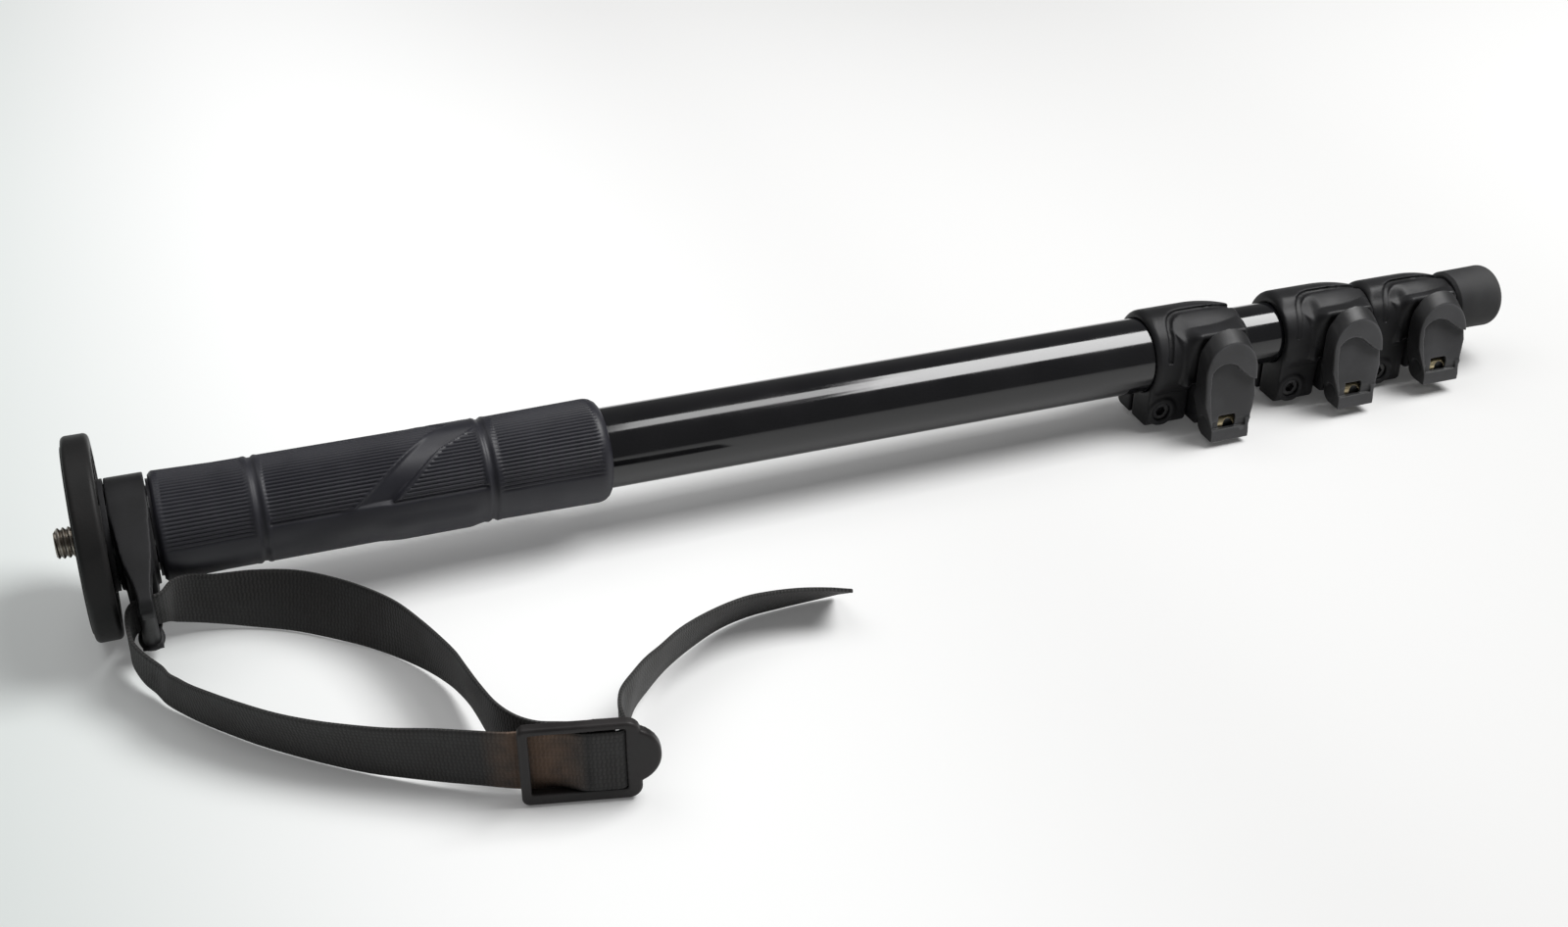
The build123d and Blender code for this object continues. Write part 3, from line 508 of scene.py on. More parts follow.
# %% Blacken the brass pins' ends
END_FACE = 0.7
tree, socket, colour = base_colour("brass")
facing = parts_of(tree, coordinate(tree, "Normal"))
is_end = maths(tree, "GREATER_THAN", maths(tree, "ABSOLUTE", facing["X"]), END_FACE)
tree.links.new(mixed(tree, is_end, colour, (0.012, 0.012, 0.012, 1)), socket)

# %% Give each CAD node its finish
for part in frame["record"]["subparts"]:
    if part["material_slot"] in finishes:
        node = nodes[part["node"]]
        node.data.materials.clear()
        node.data.materials.append(finishes[part["material_slot"]])
print("finishes:", len(finishes), "on", len(nodes), "nodes")

# %% [markdown]
# ## Softened mouldings
# The CAD solids of the locks, levers, collar and buckle have crisp edges, while the real ones
# are nylon mouldings with edges rounded by a millimetre or so, and faces that flow together.
# A copy of each node's mesh is joined up, rebuilt in even faces by a voxel remesh, eased where
# the real form flows, and smoothed. The copy then stands for the node, on the same body.

# %% Helper that softens a copy of a CAD node
SAME_POINT = 0.000001
bodies = frame["record"]["behaviour"]["bodies"]
body_of_node = {name: body for body, names in bodies.items() for name in names}
slot_of_node = {part["node"]: part["material_slot"] for part in frame["record"]["subparts"]}


def softened(name, voxel, steps, keep, flow=None, caps=()):
    """Rounded copy of a CAD node's mesh; flow may move its points in the monopod's own frame."""
    mesh = nodes[name].data.copy()
    copy = add_piece("soft_" + name, mesh)
    edit_all(copy)
    bpy.ops.mesh.remove_doubles(threshold=SAME_POINT)
    bpy.ops.object.mode_set(mode="OBJECT")
    mesh.transform(raise_up)
    for place, radius, length in caps:
        bpy.ops.mesh.primitive_cylinder_add(vertices=48, radius=radius * MM, depth=length * MM)
        cap = bpy.context.object
        to_place = Matrix.Translation([c * MM for c in place])
        cap.data.transform(to_place @ Matrix.Rotation(math.pi / 2, 4, "Y"))
        copy.select_set(True)
        bpy.context.view_layer.objects.active = copy
        bpy.ops.object.join()
    even = copy.modifiers.new("even", "REMESH")
    even.mode = "VOXEL"
    even.voxel_size = voxel * MM
    bpy.ops.object.modifier_apply(modifier="even")
    mesh = copy.data
    if flow:
        spots = np.array([v.co for v in mesh.vertices]) / MM
        mesh.vertices.foreach_set("co", (flow(spots) * MM).ravel())
    smooth = copy.modifiers.new("round", "SMOOTH")
    smooth.factor = 0.5
    smooth.iterations = steps
    bpy.ops.object.modifier_apply(modifier="round")
    fewer = copy.modifiers.new("fewer", "DECIMATE")
    fewer.ratio = keep
    bpy.ops.object.modifier_apply(modifier="fewer")
    bpy.ops.object.shade_smooth()
    mesh.materials.clear()
    mesh.materials.append(finishes[slot_of_node[name]])
    lay_piece(copy)
    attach(copy, body_of_node[name])
    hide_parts(name)
    print(copy.name, "faces:", len(mesh.polygons))
    return copy


# %% Helper that parts two neighbours
def part_from(piece, other, width, depth=0):
    """Marks where a piece lies close to its neighbour, for painted shade there, and may press it
    away there.
    """
    near = kdtree.KDTree(len(other.data.vertices))
    for index, vertex in enumerate(other.data.vertices):
        near.insert(vertex.co, index)
    near.balance()
    mesh = piece.data
    gaps = np.array([near.find(vertex.co)[2] for vertex in mesh.vertices]) / MM
    close = np.clip(1 - gaps / width, 0, 1)
    if depth:
        spots = np.array([vertex.co for vertex in mesh.vertices])
        ways = np.array([vertex.normal for vertex in mesh.vertices])
        mesh.vertices.foreach_set("co", (spots - ways * (close * depth * MM)[:, None]).ravel())
        mesh.update()
    mark = mesh.attributes.new(GAP_MARK, "FLOAT", "POINT")
    mark.data.foreach_set("value", np.minimum(1.0, 1.5 * close))


# %% Soften the three locks and their levers
LOCK_STARTS = (360.0, 413.6, 451.5)
LOCK_TUBES = (13.25, 11.0, 8.9)
LEVER_STATION, PIVOT_OUT, PIVOT_DROP = 23.8, 10.3, 5.0
RING_WALL, DRAW_IN = 2.2, 0.8
CAP_AT, CAP_RADIUS, CAP_LENGTH = 7.25, 3.4, 0.6


def crown_for(begin, outer):
    """Flow that draws a block's corners in to the lock's ring on both sides of the lever."""
    ring_radius = outer + RING_WALL

    def crown(spots):
        x, y, z = spots.T
        radius = np.hypot(y, z)
        from_lever = np.abs(x - begin - LEVER_STATION)
        aside = ease(from_lever, 8.5, 12.5) * ease(z, -6.0, 0.0) * ease(-y, 2.0, 8.0)
        above_ring = np.maximum(radius - ring_radius, 0)
        drawn = (radius - DRAW_IN * aside * above_ring) / np.maximum(radius, 0.001)
        return np.column_stack([x, y * drawn, z * drawn])

    return crown


for number, (begin, outer) in enumerate(zip(LOCK_STARTS, LOCK_TUBES), start=1):
    pin = [begin + LEVER_STATION, -outer - PIVOT_OUT, -outer - PIVOT_DROP]
    caps = [((pin[0] + side * CAP_AT, *pin[1:]), CAP_RADIUS, CAP_LENGTH) for side in (-1, 1)]
    lock = softened(f"lock_body_{number}", 0.42, 7, 0.45, crown_for(begin, outer))
    lever = softened(f"lock_lever_{number}", 0.28, 5, 0.5, caps=caps)
    # Each is marked for painted shade where it lies close to the other.
    part_from(lock, lever, 2.8, 1.5)
    part_from(lever, lock, 2.4, 0.6)

# %% Soften the strap's collar and its buckle
BAR_X, BAR_OUT, BAR_ANGLE = 16.05, 31.5, 30.0
ARM_LINE, ARM_TAPER = 16.9, 0.42
KNOB_CENTRE, KNOB_RADIUS = (16.05, 31.0, -10.8), 4.1


def slim_arm(spots):
    """Tapers the collar's upper arm towards the bar and rounds the lower arm's end to a knob."""
    x, y, z = spots.T
    tilt = math.radians(BAR_ANGLE)
    out = -y * math.cos(tilt) - z * math.sin(tilt)
    along_bar = -y * math.sin(tilt) + z * math.cos(tilt)
    narrow = 1 - ARM_TAPER * ease(out, 16.0, 31.0) * ease(along_bar, 10.2, 11.0)
    x = ARM_LINE + (x - ARM_LINE) * narrow
    below = np.maximum(-along_bar - 10.4, 0)
    along_bar = along_bar + 0.42 * below * ease(out, 20.0, 29.0)
    from_centre = np.column_stack([x, out, along_bar]) - np.array(KNOB_CENTRE)
    reach = np.maximum(np.linalg.norm(from_centre, axis=1), 0.5)
    ball = 0.85 * ease(out, 25.5, 29.0) * ease(below, 0.3, 1.2)
    grown = from_centre * (1 + ball * (KNOB_RADIUS / reach - 1))[:, None]
    x, out, along_bar = (np.array(KNOB_CENTRE) + grown).T
    y = -out * math.cos(tilt) - along_bar * math.sin(tilt)
    z = -out * math.sin(tilt) + along_bar * math.cos(tilt)
    return np.column_stack([x, y, z])


softened("strap_collar", 0.35, 7, 0.45, slim_arm)
buckle = softened("strap_buckle", 0.25, 6, 0.45)

# %% [markdown]
# ## The rubber grip
# The real sleeve is one moulding of soft rubber. Fine ribs run along it, two ring grooves part
# it in three, and a leaf of ribs rises from a smooth hollow on each side and meets the other at
# the top. A lathe makes the body: a profile spun in 252 steps, three for each of 84 ribs. The
# relief is then pressed in by moving each point along its own radius.

# %% Profile of the sleeve, in millimetres along the axis
NECK_START, GRIP_END = 22.12, 163.0
GRIP_BORE = 13.3
RINGS = (53.0, 124.0)
RIBS, STEPS_PER_RIB = 84, 3


def grip_radius_at(station):
    """Radius of the sleeve's outside before its relief."""
    points = [22.1, 22.9, 22.95, 24.0, 41.9, 124.0, 159.0, 160.6, 162.0, 162.8, 163.0]
    radii = [15.0, 15.0, 16.0, 17.1, 16.6, 16.6, 17.1, 16.75, 15.8, 14.6, 13.9]
    return float(np.interp(station, points, radii))


stations = [NECK_START, 22.9, 22.95, 23.3, 23.7]
stations += list(np.arange(24.2, 51.0, 0.9))
stations += list(np.arange(51.0, 126.5, 0.5))
stations += list(np.arange(127.0, 159.0, 0.9))
stations += [159.4, 160.1, 160.8, 161.4, 162.0, 162.5, 162.8, 163.0]
profile = [(s, grip_radius_at(s)) for s in stations]
profile += [(GRIP_END, GRIP_BORE), (NECK_START, GRIP_BORE)]
print("grip profile:", len(profile), "points")

# %% Spin the profile
sleeve = bpy.data.meshes.new("grip_sleeve")
closing = [(i, (i + 1) % len(profile)) for i in range(len(profile))]
sleeve.from_pydata([(x * MM, 0, r * MM) for x, r in profile], closing, [])
grip = add_piece("grip_sleeve", sleeve)
spun(grip, STEPS_PER_RIB * RIBS, 0.000002)
print("grip faces:", len(sleeve.polygons))

# %% Where each point of the sleeve lies
MIDDLE = -12.0
points = np.array([v.co for v in sleeve.vertices])
station = points[:, 0] / MM
radius = np.hypot(points[:, 1], points[:, 2]) / MM
angle = np.degrees(np.arctan2(-points[:, 1], points[:, 2]))
side = np.abs((angle - MIDDLE + 180) % 360 - 180)
hollow_edge = np.interp(side, [0, 8, 88, 96], [113.0, 110.0, 80.5, 80.0])
leaf_edge = np.interp(side, [14, 21, 38, 87, 96], [122.0, 118.5, 108.5, 92.2, 90.0])
middle_section = ease(station, 54.6, 55.4) * (1 - ease(station, 121.9, 122.7))
in_hollow = ease(station, hollow_edge, hollow_edge + 0.9)
in_hollow = in_hollow * (1 - ease(station, leaf_edge, leaf_edge + 0.8))
upper = 1 - ease(side, 86, 90)


def ridge(distance, width, power=2):
    """1 on a line, falling to 0 beside it."""
    return np.exp(-((distance / width) ** power))


# %% Depth of the hollow, its lips, the groove line, the belly and the rings
HOLLOW_DEPTH, CREST, LIP_HEIGHT = 1.7, 0.25, 0.28
LINE_DEPTH, LINE_AT, DEGREE_ARC = 0.75, 89, 0.29
BELLY_RISE = 0.75
RING_DEPTH, RING_LIP, RING_LIP_AT = 0.45, 0.22, 1.7
slope = np.clip((station - hollow_edge) / np.maximum(leaf_edge - hollow_edge, 1.0), 0, 1)
press = -HOLLOW_DEPTH * in_hollow * upper * middle_section * (0.35 + 0.65 * slope)
press = press * ease(side, 12, 34)
press += CREST * in_hollow * middle_section * (1 - ease(side, 10, 26))
lips = ridge(station - leaf_edge - 1.0, 0.6) + 0.6 * ridge(station - hollow_edge + 0.3, 0.6)
press += LIP_HEIGHT * lips * upper * middle_section * ease(side, 10, 24)
line = ridge((side - LINE_AT) * DEGREE_ARC, 0.55)
break_in_line = ease(station, 74, 82) * (1 - ease(station, 88, 94))
press -= LINE_DEPTH * line * middle_section * (1 - break_in_line)
belly = ease(side, 104, 122) * ease(station, 86, 96) * (1 - ease(station, 116, 121.5))
press += BELLY_RISE * belly
for ring in RINGS:
    press -= RING_DEPTH * ridge(station - ring, 0.85, 6)
    for lip in (-RING_LIP_AT, RING_LIP_AT):
        press += RING_LIP * ridge(station - ring - lip, 0.45)

# %% Press the relief and the ribs in
RIB_DEPTH = 0.42
before_hollow = 1 - ease(station, hollow_edge - 1.2, hollow_edge - 0.4)
on_leaf = ease(station, leaf_edge + 1.9, leaf_edge + 2.7)
ribbed = np.maximum(1 - middle_section, np.maximum(before_hollow, on_leaf))
lower_by = 12 * (1 - middle_section)
ribbed = ribbed * (1 - ease(side, 84 + lower_by, 88 + lower_by))
for ring in RINGS:
    ribbed = ribbed * ease(np.abs(station - ring), 2.2, 2.9)
ribbed = ribbed * ease(station, 24.0, 25.2) * (1 - ease(station, 158.5, 160.0))
turn = np.round((angle + 180) / 360 * STEPS_PER_RIB * RIBS).astype(int) % STEPS_PER_RIB
ribs = np.where(turn == 0, -RIB_DEPTH, 0.0) * ribbed
outside = radius > GRIP_BORE + 0.25
new_radius = np.where(outside, radius + press + ribs, radius)
points[:, 1] *= new_radius / radius
points[:, 2] *= new_radius / radius
sleeve.vertices.foreach_set("co", points.ravel())
sleeve.update()
only(grip)
bpy.ops.object.shade_smooth_by_angle(angle=math.radians(55))
lay_piece(grip)
sleeve.materials.append(finishes["grip_rubber"])
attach(grip, "root")
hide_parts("grip")
print("relief from", round(float(press.min()), 2), "to", round(float(press.max()), 2), "mm")

# %% [markdown]
# ## The stud's thread
# Sixteen turns to the inch is a pitch of 1.59 mm. One tooth is drawn as four points and the
# Screw modifier winds it round the axis. At both ends each turn's radius is eased down, so that
# the thread runs out into the bevel. A turned core with a coin slot closes it.

# %% Wind the thread
PITCH = 25.4 / 16
ROOT_RADIUS, CREST_RADIUS = 3.95, 4.74
FIRST_TOOTH, THREAD_FROM, THREAD_TO = -6.4, -6.25, 1.7
thread_mesh = bpy.data.meshes.new("stud_thread")
tooth = [
    (-0.5 * PITCH, ROOT_RADIUS), (-0.08 * PITCH, CREST_RADIUS),
    (0.08 * PITCH, CREST_RADIUS), (0.5 * PITCH, ROOT_RADIUS),
]
tooth_points = [((FIRST_TOOTH + x) * MM, 0, r * MM) for x, r in tooth]
thread_mesh.from_pydata(tooth_points, [(0, 1), (1, 2), (2, 3)], [])
thread = add_piece("stud_thread", thread_mesh)
only(thread)
wind = thread.modifiers.new("wind", "SCREW")
wind.axis = "X"
wind.angle = 2 * math.pi
wind.steps = 40
wind.render_steps = 40
wind.screw_offset = PITCH * MM
wind.iterations = 5
wind.use_merge_vertices = True
wind.merge_threshold = 0.00001
bpy.ops.object.modifier_apply(modifier="wind")
points = np.array([v.co for v in thread_mesh.vertices])
station = points[:, 0] / MM
radius = np.hypot(points[:, 1], points[:, 2]) / MM
limit = np.interp(station, [-6.3, -5.5, 1.6, 1.7], [3.9, 4.76, 4.76, 3.9])
squeeze = np.minimum(radius, limit) / radius
points[:, 0] = np.clip(station, THREAD_FROM, THREAD_TO) * MM
points[:, 1] *= squeeze
points[:, 2] *= squeeze
thread_mesh.vertices.foreach_set("co", points.ravel())
thread_mesh.update()

# %% Turn the core and cut its slot
STUD_TIP, SLOT_WIDTH, SLOT_DEPTH, SLOT_LENGTH = -6.3, 1.2, 1.6, 12
core_profile = [
    (STUD_TIP, 0.0), (STUD_TIP, 3.3), (-5.75, 4.0), (0.4, 4.0), (0.4, 6.5),
    (1.75, 6.5), (1.75, 3.17), (18.0, 3.17), (18.0, 0.0),
]
core_points = [(x * MM, 0, r * MM) for x, r in core_profile]
core_mesh = bpy.data.meshes.new("stud_core")
core_mesh.from_pydata(core_points, [(i, i + 1) for i in range(len(core_points) - 1)], [])
core = add_piece("stud_core", core_mesh)
spun(core, 64, 0.00001)
bpy.ops.mesh.primitive_cube_add(size=1, location=(STUD_TIP * MM, 0, 0))
cutter = bpy.context.object
cutter.scale = (SLOT_DEPTH * MM * 2, SLOT_WIDTH * MM, SLOT_LENGTH * MM)
only(core)
slot_cut = core.modifiers.new("slot", "BOOLEAN")
slot_cut.object = cutter
slot_cut.solver = "EXACT"
bpy.ops.object.modifier_apply(modifier="slot")
bpy.data.objects.remove(cutter)
for piece in (thread, core):
    only(piece)
    bpy.ops.object.shade_smooth_by_angle(angle=math.radians(35))
    lay_piece(piece)
    piece.data.materials.append(finishes["stud_steel"])
    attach(piece, "root")
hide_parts("camera_stud")
print("thread turns shown:", round(-STUD_TIP / PITCH, 1))

# %% [markdown]
# ## The woven wrist strap
# One length of 20 mm webbing runs from its end behind the buckle, back along the table, round
# the collar's bar and forward again, through the buckle and out as a loose tail. Each row of
# the tables gives where its lower edge runs, how far it is lifted, and how far its upper edge
# leans aside. Places and leans are in widths of the webbing, and lifts are shares of the height
# of the buckle's gate or of the bar. Rows round the bar are in radii of that turn. A smooth
# curve through the rows gives the cloth's middle surface.

# %% Rows of the webbing's route
WIDTH = 20.0
THICK = 1.3
GATE_LIFT = 4.2
back_run = [
    (6.47, -6.385, 1.0, 0.0, 0.0), (6.09, -6.28, 1.0, 0.0, 0.0), (5.80, -6.175, 1.0, 0.0, 0.0),
    (5.50, -6.03, 1.0, -0.01, -0.01), (5.28, -5.80, 1.0, -0.02, -0.02),
    (5.14, -5.45, 1.0, -0.06, -0.03), (5.05, -4.95, 0.98, -0.10, -0.03),
    (4.99, -4.41, 0.95, -0.14, -0.02), (4.94, -4.05, 0.81, -0.14, -0.03),
    (4.81, -3.51, 0.48, -0.13, -0.04), (4.57, -2.97, 0.24, -0.06, -0.03),
    (4.22, -2.45, 0.10, 0.05, 0.05), (3.85, -2.03, 0.07, 0.11, 0.11),
    (3.36, -1.61, 0.10, 0.16, 0.19), (2.85, -1.22, 0.10, 0.15, 0.20),
    (2.33, -0.93, 0.14, 0.06, 0.08),
]
climb = [
    (1.80, -0.74, 0.29, 0.0, -0.12), (1.45, -0.71, 0.56, 0.03, -0.17),
    (1.17, -0.77, 0.90, 0.05, -0.30),
]
bar_turn = [(1.22, 1.18), (0.0, 1.0), (-0.68, 0.88), (-1.20, 0.46), (-1.47, -0.17)]
descent = [
    (0.48, -1.49, 0.56, 0.04, -0.52), (0.53, -1.71, 0.43, 0.06, -0.51),
    (0.61, -1.92, 0.32, 0.10, -0.51), (0.73, -2.13, 0.23, 0.13, -0.52),
    (0.85, -2.40, 0.14, 0.09, -0.47),
]
front_run = [
    (1.04, -2.67, 0.14, 0.01, -0.39), (1.26, -2.95, 0.10, -0.09, -0.31),
    (1.49, -3.22, 0.10, -0.18, -0.22), (1.95, -3.72, 0.10, -0.20, -0.19),
    (2.41, -4.15, 0.10, -0.18, -0.21), (2.87, -4.54, 0.10, -0.15, -0.19),
    (3.33, -4.90, 0.14, -0.11, -0.15), (3.72, -5.17, 0.27, -0.09, -0.13),
    (4.21, -5.50, 0.46, -0.05, -0.07), (4.70, -5.80, 0.62, -0.04, -0.05),
    (5.08, -6.01, 0.64, -0.02, -0.03),
]
buckle_run = [
    (5.28, -6.085, 0.58, 0.0, 0.0), (5.50, -6.157, 0.54, 0.0, 0.0),
    (5.706, -6.258, 0.64, 0.0, 0.0), (5.866, -6.384, 0.86, 0.0, 0.0),
    (5.993, -6.496, 1.0, 0.0, 0.0), (6.15, -6.55, 1.0, 0.0, 0.0),
    (6.32, -6.59, 1.0, 0.0, 0.0), (6.508, -6.625, 1.0, 0.0, 0.0),
    (6.576, -6.576, 1.0, 0.0, 0.0), (6.604, -6.470, 1.0, 0.0, 0.0),
    (6.630, -6.33, 1.0, 0.0, 0.0),
]
tail_run = [
    (6.655, -6.075, 1.0, 0.0, 0.0), (6.75, -5.74, 1.0, 0.02, -0.02),
    (6.92, -5.38, 1.0, 0.13, -0.06), (7.11, -5.04, 0.95, 0.20, -0.13),
    (7.37, -4.73, 0.86, 0.23, -0.20), (7.80, -4.28, 0.71, 0.24, -0.28),
    (8.34, -3.86, 0.57, 0.25, -0.38), (8.95, -3.49, 0.38, 0.24, -0.49),
    (9.46, -3.32, 0.24, 0.14, -0.58), (10.07, -3.265, 0.19, 0.04, -0.65),
    (10.60, -3.26, 0.24, -0.02, -0.73), (10.96, -3.29, 0.43, -0.06, -0.80),
]
floor_level = cad_low[2] / MM

# %% Stand each row on the table or round the bar
TURN_RADIUS = 3.8
bar_tilt = Matrix.Rotation(math.radians(180 + BAR_ANGLE), 4, "X")
bar_place = lay_down @ bar_tilt @ Matrix.Translation((BAR_X, BAR_OUT, 0))
bar_lift = (bar_place @ Vector((0, 0, WIDTH / 2))).z - floor_level


def level_rows(rows, lift):
    """Lower and upper edge of the webbing where it runs over the table or climbs from it."""
    x, y, rise, lean_x, lean_y = np.array(rows).T
    low = np.column_stack([x * WIDTH, y * WIDTH, floor_level + rise * lift])
    up = np.sqrt(1 - lean_x**2 - lean_y**2)
    return np.hstack([low, low + np.column_stack([lean_x, lean_y, up]) * WIDTH])


def bar_rows(rows):
    """Both edges of the webbing where it lies round the bar."""
    result = []
    for way, inward in rows:
        flat = (way * TURN_RADIUS, -inward * TURN_RADIUS)
        corners = [Vector((*flat, end)) for end in (WIDTH / 2, -WIDTH / 2)]
        result.append([value for corner in corners for value in bar_place @ corner])
    return np.array(result)


route = np.vstack([
    level_rows(back_run, GATE_LIFT), level_rows(climb, bar_lift), bar_rows(bar_turn),
    level_rows(descent, bar_lift), level_rows(front_run + buckle_run + tail_run, GATE_LIFT),
])
print("route rows:", len(route), "bar lift:", round(bar_lift, 2), "mm")


# %% A smooth curve through every row
def smooth_rows(rows, per_row):
    """Centripetal curve through the rows' low and high edges, several steps per row."""
    both = np.vstack([2 * rows[0] - rows[1], rows, 2 * rows[-1] - rows[-2]])
    middle = (both[:, :3] + both[:, 3:]) / 2
    gaps = np.sqrt(np.linalg.norm(np.diff(middle, axis=0), axis=1))
    knots = np.concatenate([[0], np.cumsum(gaps)])
    result = []
    for i in range(1, len(both) - 2):
        t0, t1, t2, t3 = knots[i - 1:i + 3]
        p0, p1, p2, p3 = both[i - 1:i + 3]
        for t in np.linspace(t1, t2, per_row, endpoint=False):
            a1 = (t1 - t) / (t1 - t0) * p0 + (t - t0) / (t1 - t0) * p1
            a2 = (t2 - t) / (t2 - t1) * p1 + (t - t1) / (t2 - t1) * p2
            a3 = (t3 - t) / (t3 - t2) * p2 + (t - t2) / (t3 - t2) * p3
            b1 = (t2 - t) / (t2 - t0) * a1 + (t - t0) / (t2 - t0) * a2
            b2 = (t3 - t) / (t3 - t1) * a2 + (t - t1) / (t3 - t1) * a3
            result.append((t2 - t) / (t2 - t1) * b1 + (t - t1) / (t2 - t1) * b2)
    result.append(both[-2])
    return np.array(result)


STEPS_PER_ROW = 6
edges = smooth_rows(route, STEPS_PER_ROW)
middles = (edges[:, :3] + edges[:, 3:]) / 2
along = np.concatenate([[0], np.cumsum(np.linalg.norm(np.diff(middles, axis=0), axis=1))])

# %% Weave the ribbon's two skins and selvedges
tangent = np.gradient(middles, along, axis=0)
across = edges[:, 3:] - edges[:, :3]
aside = np.cross(tangent, across)
aside /= np.linalg.norm(aside, axis=1)[:, None]
shares = np.array([0.0, 0.02, 0.06, 0.12, 0.25, 0.4, 0.5, 0.6, 0.75, 0.88, 0.94, 0.98, 1.0])
swell = np.array([0.55, 0.85, 1.0, 0.86, 0.9, 0.92, 0.92, 0.92, 0.9, 0.86, 1.0, 0.85, 0.55])
swell = swell * THICK / 2
around = list(zip(shares, swell)) + [(s, -w) for s, w in zip(shares[::-1], swell[::-1])]
ring = len(around)
verts = []
for row, (low, push) in enumerate(zip(edges[:, :3], aside)):
    for share, out in around:
        verts.append(tuple((low + across[row] * share + push * out) * MM))
faces = []
for row in range(len(edges) - 1):
    here, there = row * ring, (row + 1) * ring
    for i in range(ring):
        j = (i + 1) % ring
        faces.append((here + i, there + i, there + j, here + j))
faces.append(tuple(range(ring)))
last = (len(edges) - 1) * ring
faces.append(tuple(last + i for i in reversed(range(ring))))
strap_mesh = bpy.data.meshes.new("wrist_webbing")
strap_mesh.from_pydata(verts, [], faces)
strap = add_piece("wrist_webbing", strap_mesh)
thread_map = strap_mesh.uv_layers.new(name="threads")
for face in strap_mesh.polygons:
    for loop in face.loop_indices:
        vertex = strap_mesh.loops[loop].vertex_index
        share = around[vertex % ring][0]
        thread_map.data[loop].uv = (share * WIDTH * MM, along[vertex // ring] * MM)
edit_all(strap)
bpy.ops.mesh.normals_make_consistent(inside=False)
bpy.ops.object.mode_set(mode="OBJECT")
bpy.ops.object.shade_smooth_by_angle(angle=math.radians(50))
print("webbing faces:", len(strap_mesh.polygons))

# %% [markdown]
# ## How the webbing is woven
# Nylon webbing like this shows fine cross ribs, split in rows so that neighbours are a little
# out of step. Two waves on the strap's own thread map make them, one across and one along, and
# the colour sinks between the ribs as painted shade. The worn brown patch before the buckle
# and the painted shade in the folds inside it are masks on the length.

# %% Weave the webbing's ribs
ROW_WIDTH, RIB_LENGTH, ROW_SHIFT = 0.0028, 0.0012, 0.6
weave = bpy.data.materials.new("wrist_webbing")
weave.use_nodes = True
tree = weave.node_tree
shader = tree.nodes["Principled BSDF"]
shader.inputs["Sheen Weight"].default_value = 0.06
shader.inputs["Sheen Roughness"].default_value = 0.5
threads = tree.nodes.new("ShaderNodeUVMap")
threads.uv_map = "threads"
spot = parts_of(tree, threads.outputs["UV"])
u_wave = maths(tree, "SINE", maths(tree, "MULTIPLY", spot["X"], 2 * math.pi / ROW_WIDTH))
v_turns = maths(tree, "MULTIPLY", spot["Y"], 2 * math.pi / RIB_LENGTH)
shifted = maths(tree, "MULTIPLY_ADD", maths(tree, "SIGN", u_wave), ROW_SHIFT, v_turns)
rib = maths(tree, "MULTIPLY_ADD", maths(tree, "SINE", shifted), 0.5, 0.5)
row_form = maths(tree, "POWER", maths(tree, "ABSOLUTE", u_wave), 0.35)
height = maths(tree, "MULTIPLY", rib, row_form)
bump = tree.nodes.new("ShaderNodeBump")
bump.inputs["Distance"].default_value = 0.00016
bump.inputs["Strength"].default_value = 0.9
tree.links.new(height, bump.inputs["Height"])
tree.links.new(bump.outputs["Normal"], shader.inputs["Normal"])
patches = patches_in(tree, (0.020, 0.0195, 0.019), (0.032, 0.030, 0.029), 90, (0.70, 0.15))
tree.links.new(patches["Roughness"], shader.inputs["Roughness"])
# Painted shade between the ribs: the colour is darker where the weave lies low.
between = maths(tree, "SUBTRACT", 0.75, height)
colour = mixed(tree, between, patches["Color"], (0.30, 0.30, 0.30, 1), "MULTIPLY")

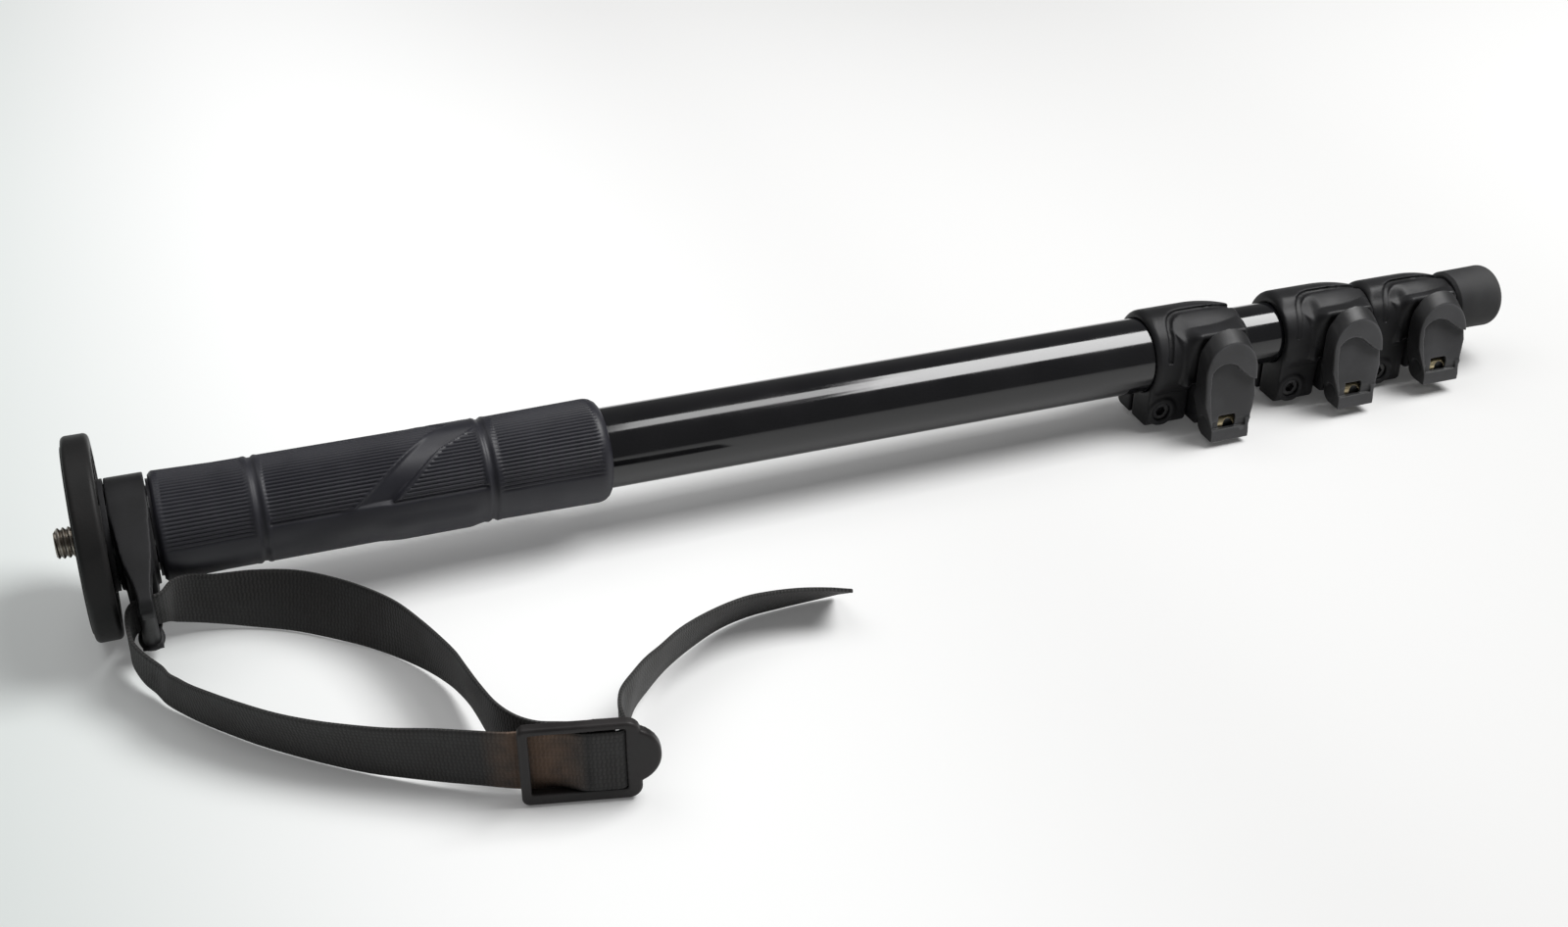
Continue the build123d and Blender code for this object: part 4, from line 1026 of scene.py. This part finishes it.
# %% Wear the webbing brown before the buckle
WORN_REACH, WORN_BROWN = 0.013, (0.120, 0.074, 0.048, 1)
rows_before = len(back_run) + len(climb) + len(bar_turn) + len(descent) + len(front_run)
buckle_at = float(along[STEPS_PER_ROW * (rows_before + 1)])
cloud = tree.nodes.new("ShaderNodeTexNoise")
cloud.inputs["Scale"].default_value = 220
cloud.inputs["Detail"].default_value = 4
tree.links.new(threads.outputs["UV"], cloud.inputs["Vector"])
distance = maths(tree, "ABSOLUTE", maths(tree, "SUBTRACT", spot["Y"], (buckle_at - 1.0) * MM))
near = maths(tree, "SUBTRACT", 1.2, maths(tree, "DIVIDE", distance, WORN_REACH))
patchy = maths(tree, "MULTIPLY", cloud.outputs["Fac"], 1.9)
worn = maths(tree, "MULTIPLY", maths(tree, "MAXIMUM", near, 0.0), patchy)
colour = mixed(tree, worn, colour, WORN_BROWN)

# %% Paint shade into the folds inside the buckle
FOLDS = ((4, 0.0016), (9, 0.0034))
FOLD_SHADE = (0.002, 0.002, 0.002, 1)
fold_shades = []
for row, half_width in FOLDS:
    fold_at = float(along[STEPS_PER_ROW * (rows_before + row) + STEPS_PER_ROW // 2]) * MM
    off = maths(tree, "ABSOLUTE", maths(tree, "SUBTRACT", spot["Y"], fold_at))
    fall = maths(tree, "SUBTRACT", 1.0, maths(tree, "DIVIDE", off, half_width))
    fold_shades.append(maths(tree, "MAXIMUM", fall, 0.0))
fold_shade = maths(tree, "MULTIPLY", maths(tree, "MAXIMUM", *fold_shades), 0.9)
colour = mixed(tree, fold_shade, colour, FOLD_SHADE)
tree.links.new(shaded_by_gap(tree, colour), shader.inputs["Base Color"])
strap_mesh.materials.append(weave)

# %% Mark where the webbing and its buckle meet, for painted shade between them
part_from(strap, buckle, 1.8)
part_from(buckle, strap, 1.2)

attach(strap, "strap")
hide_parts("wrist_strap")

# %% [markdown]
# ## The dressed model's size
# The dressed model's box is printed, as the CAD model's box was at the start, for comparison.
# The dressed model must stay in the CAD model's box.

# %% Print the dressed model's size
low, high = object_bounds()
print("visual box in mm:", [round((b - a) / MM, 1) for a, b in zip(low, high)])
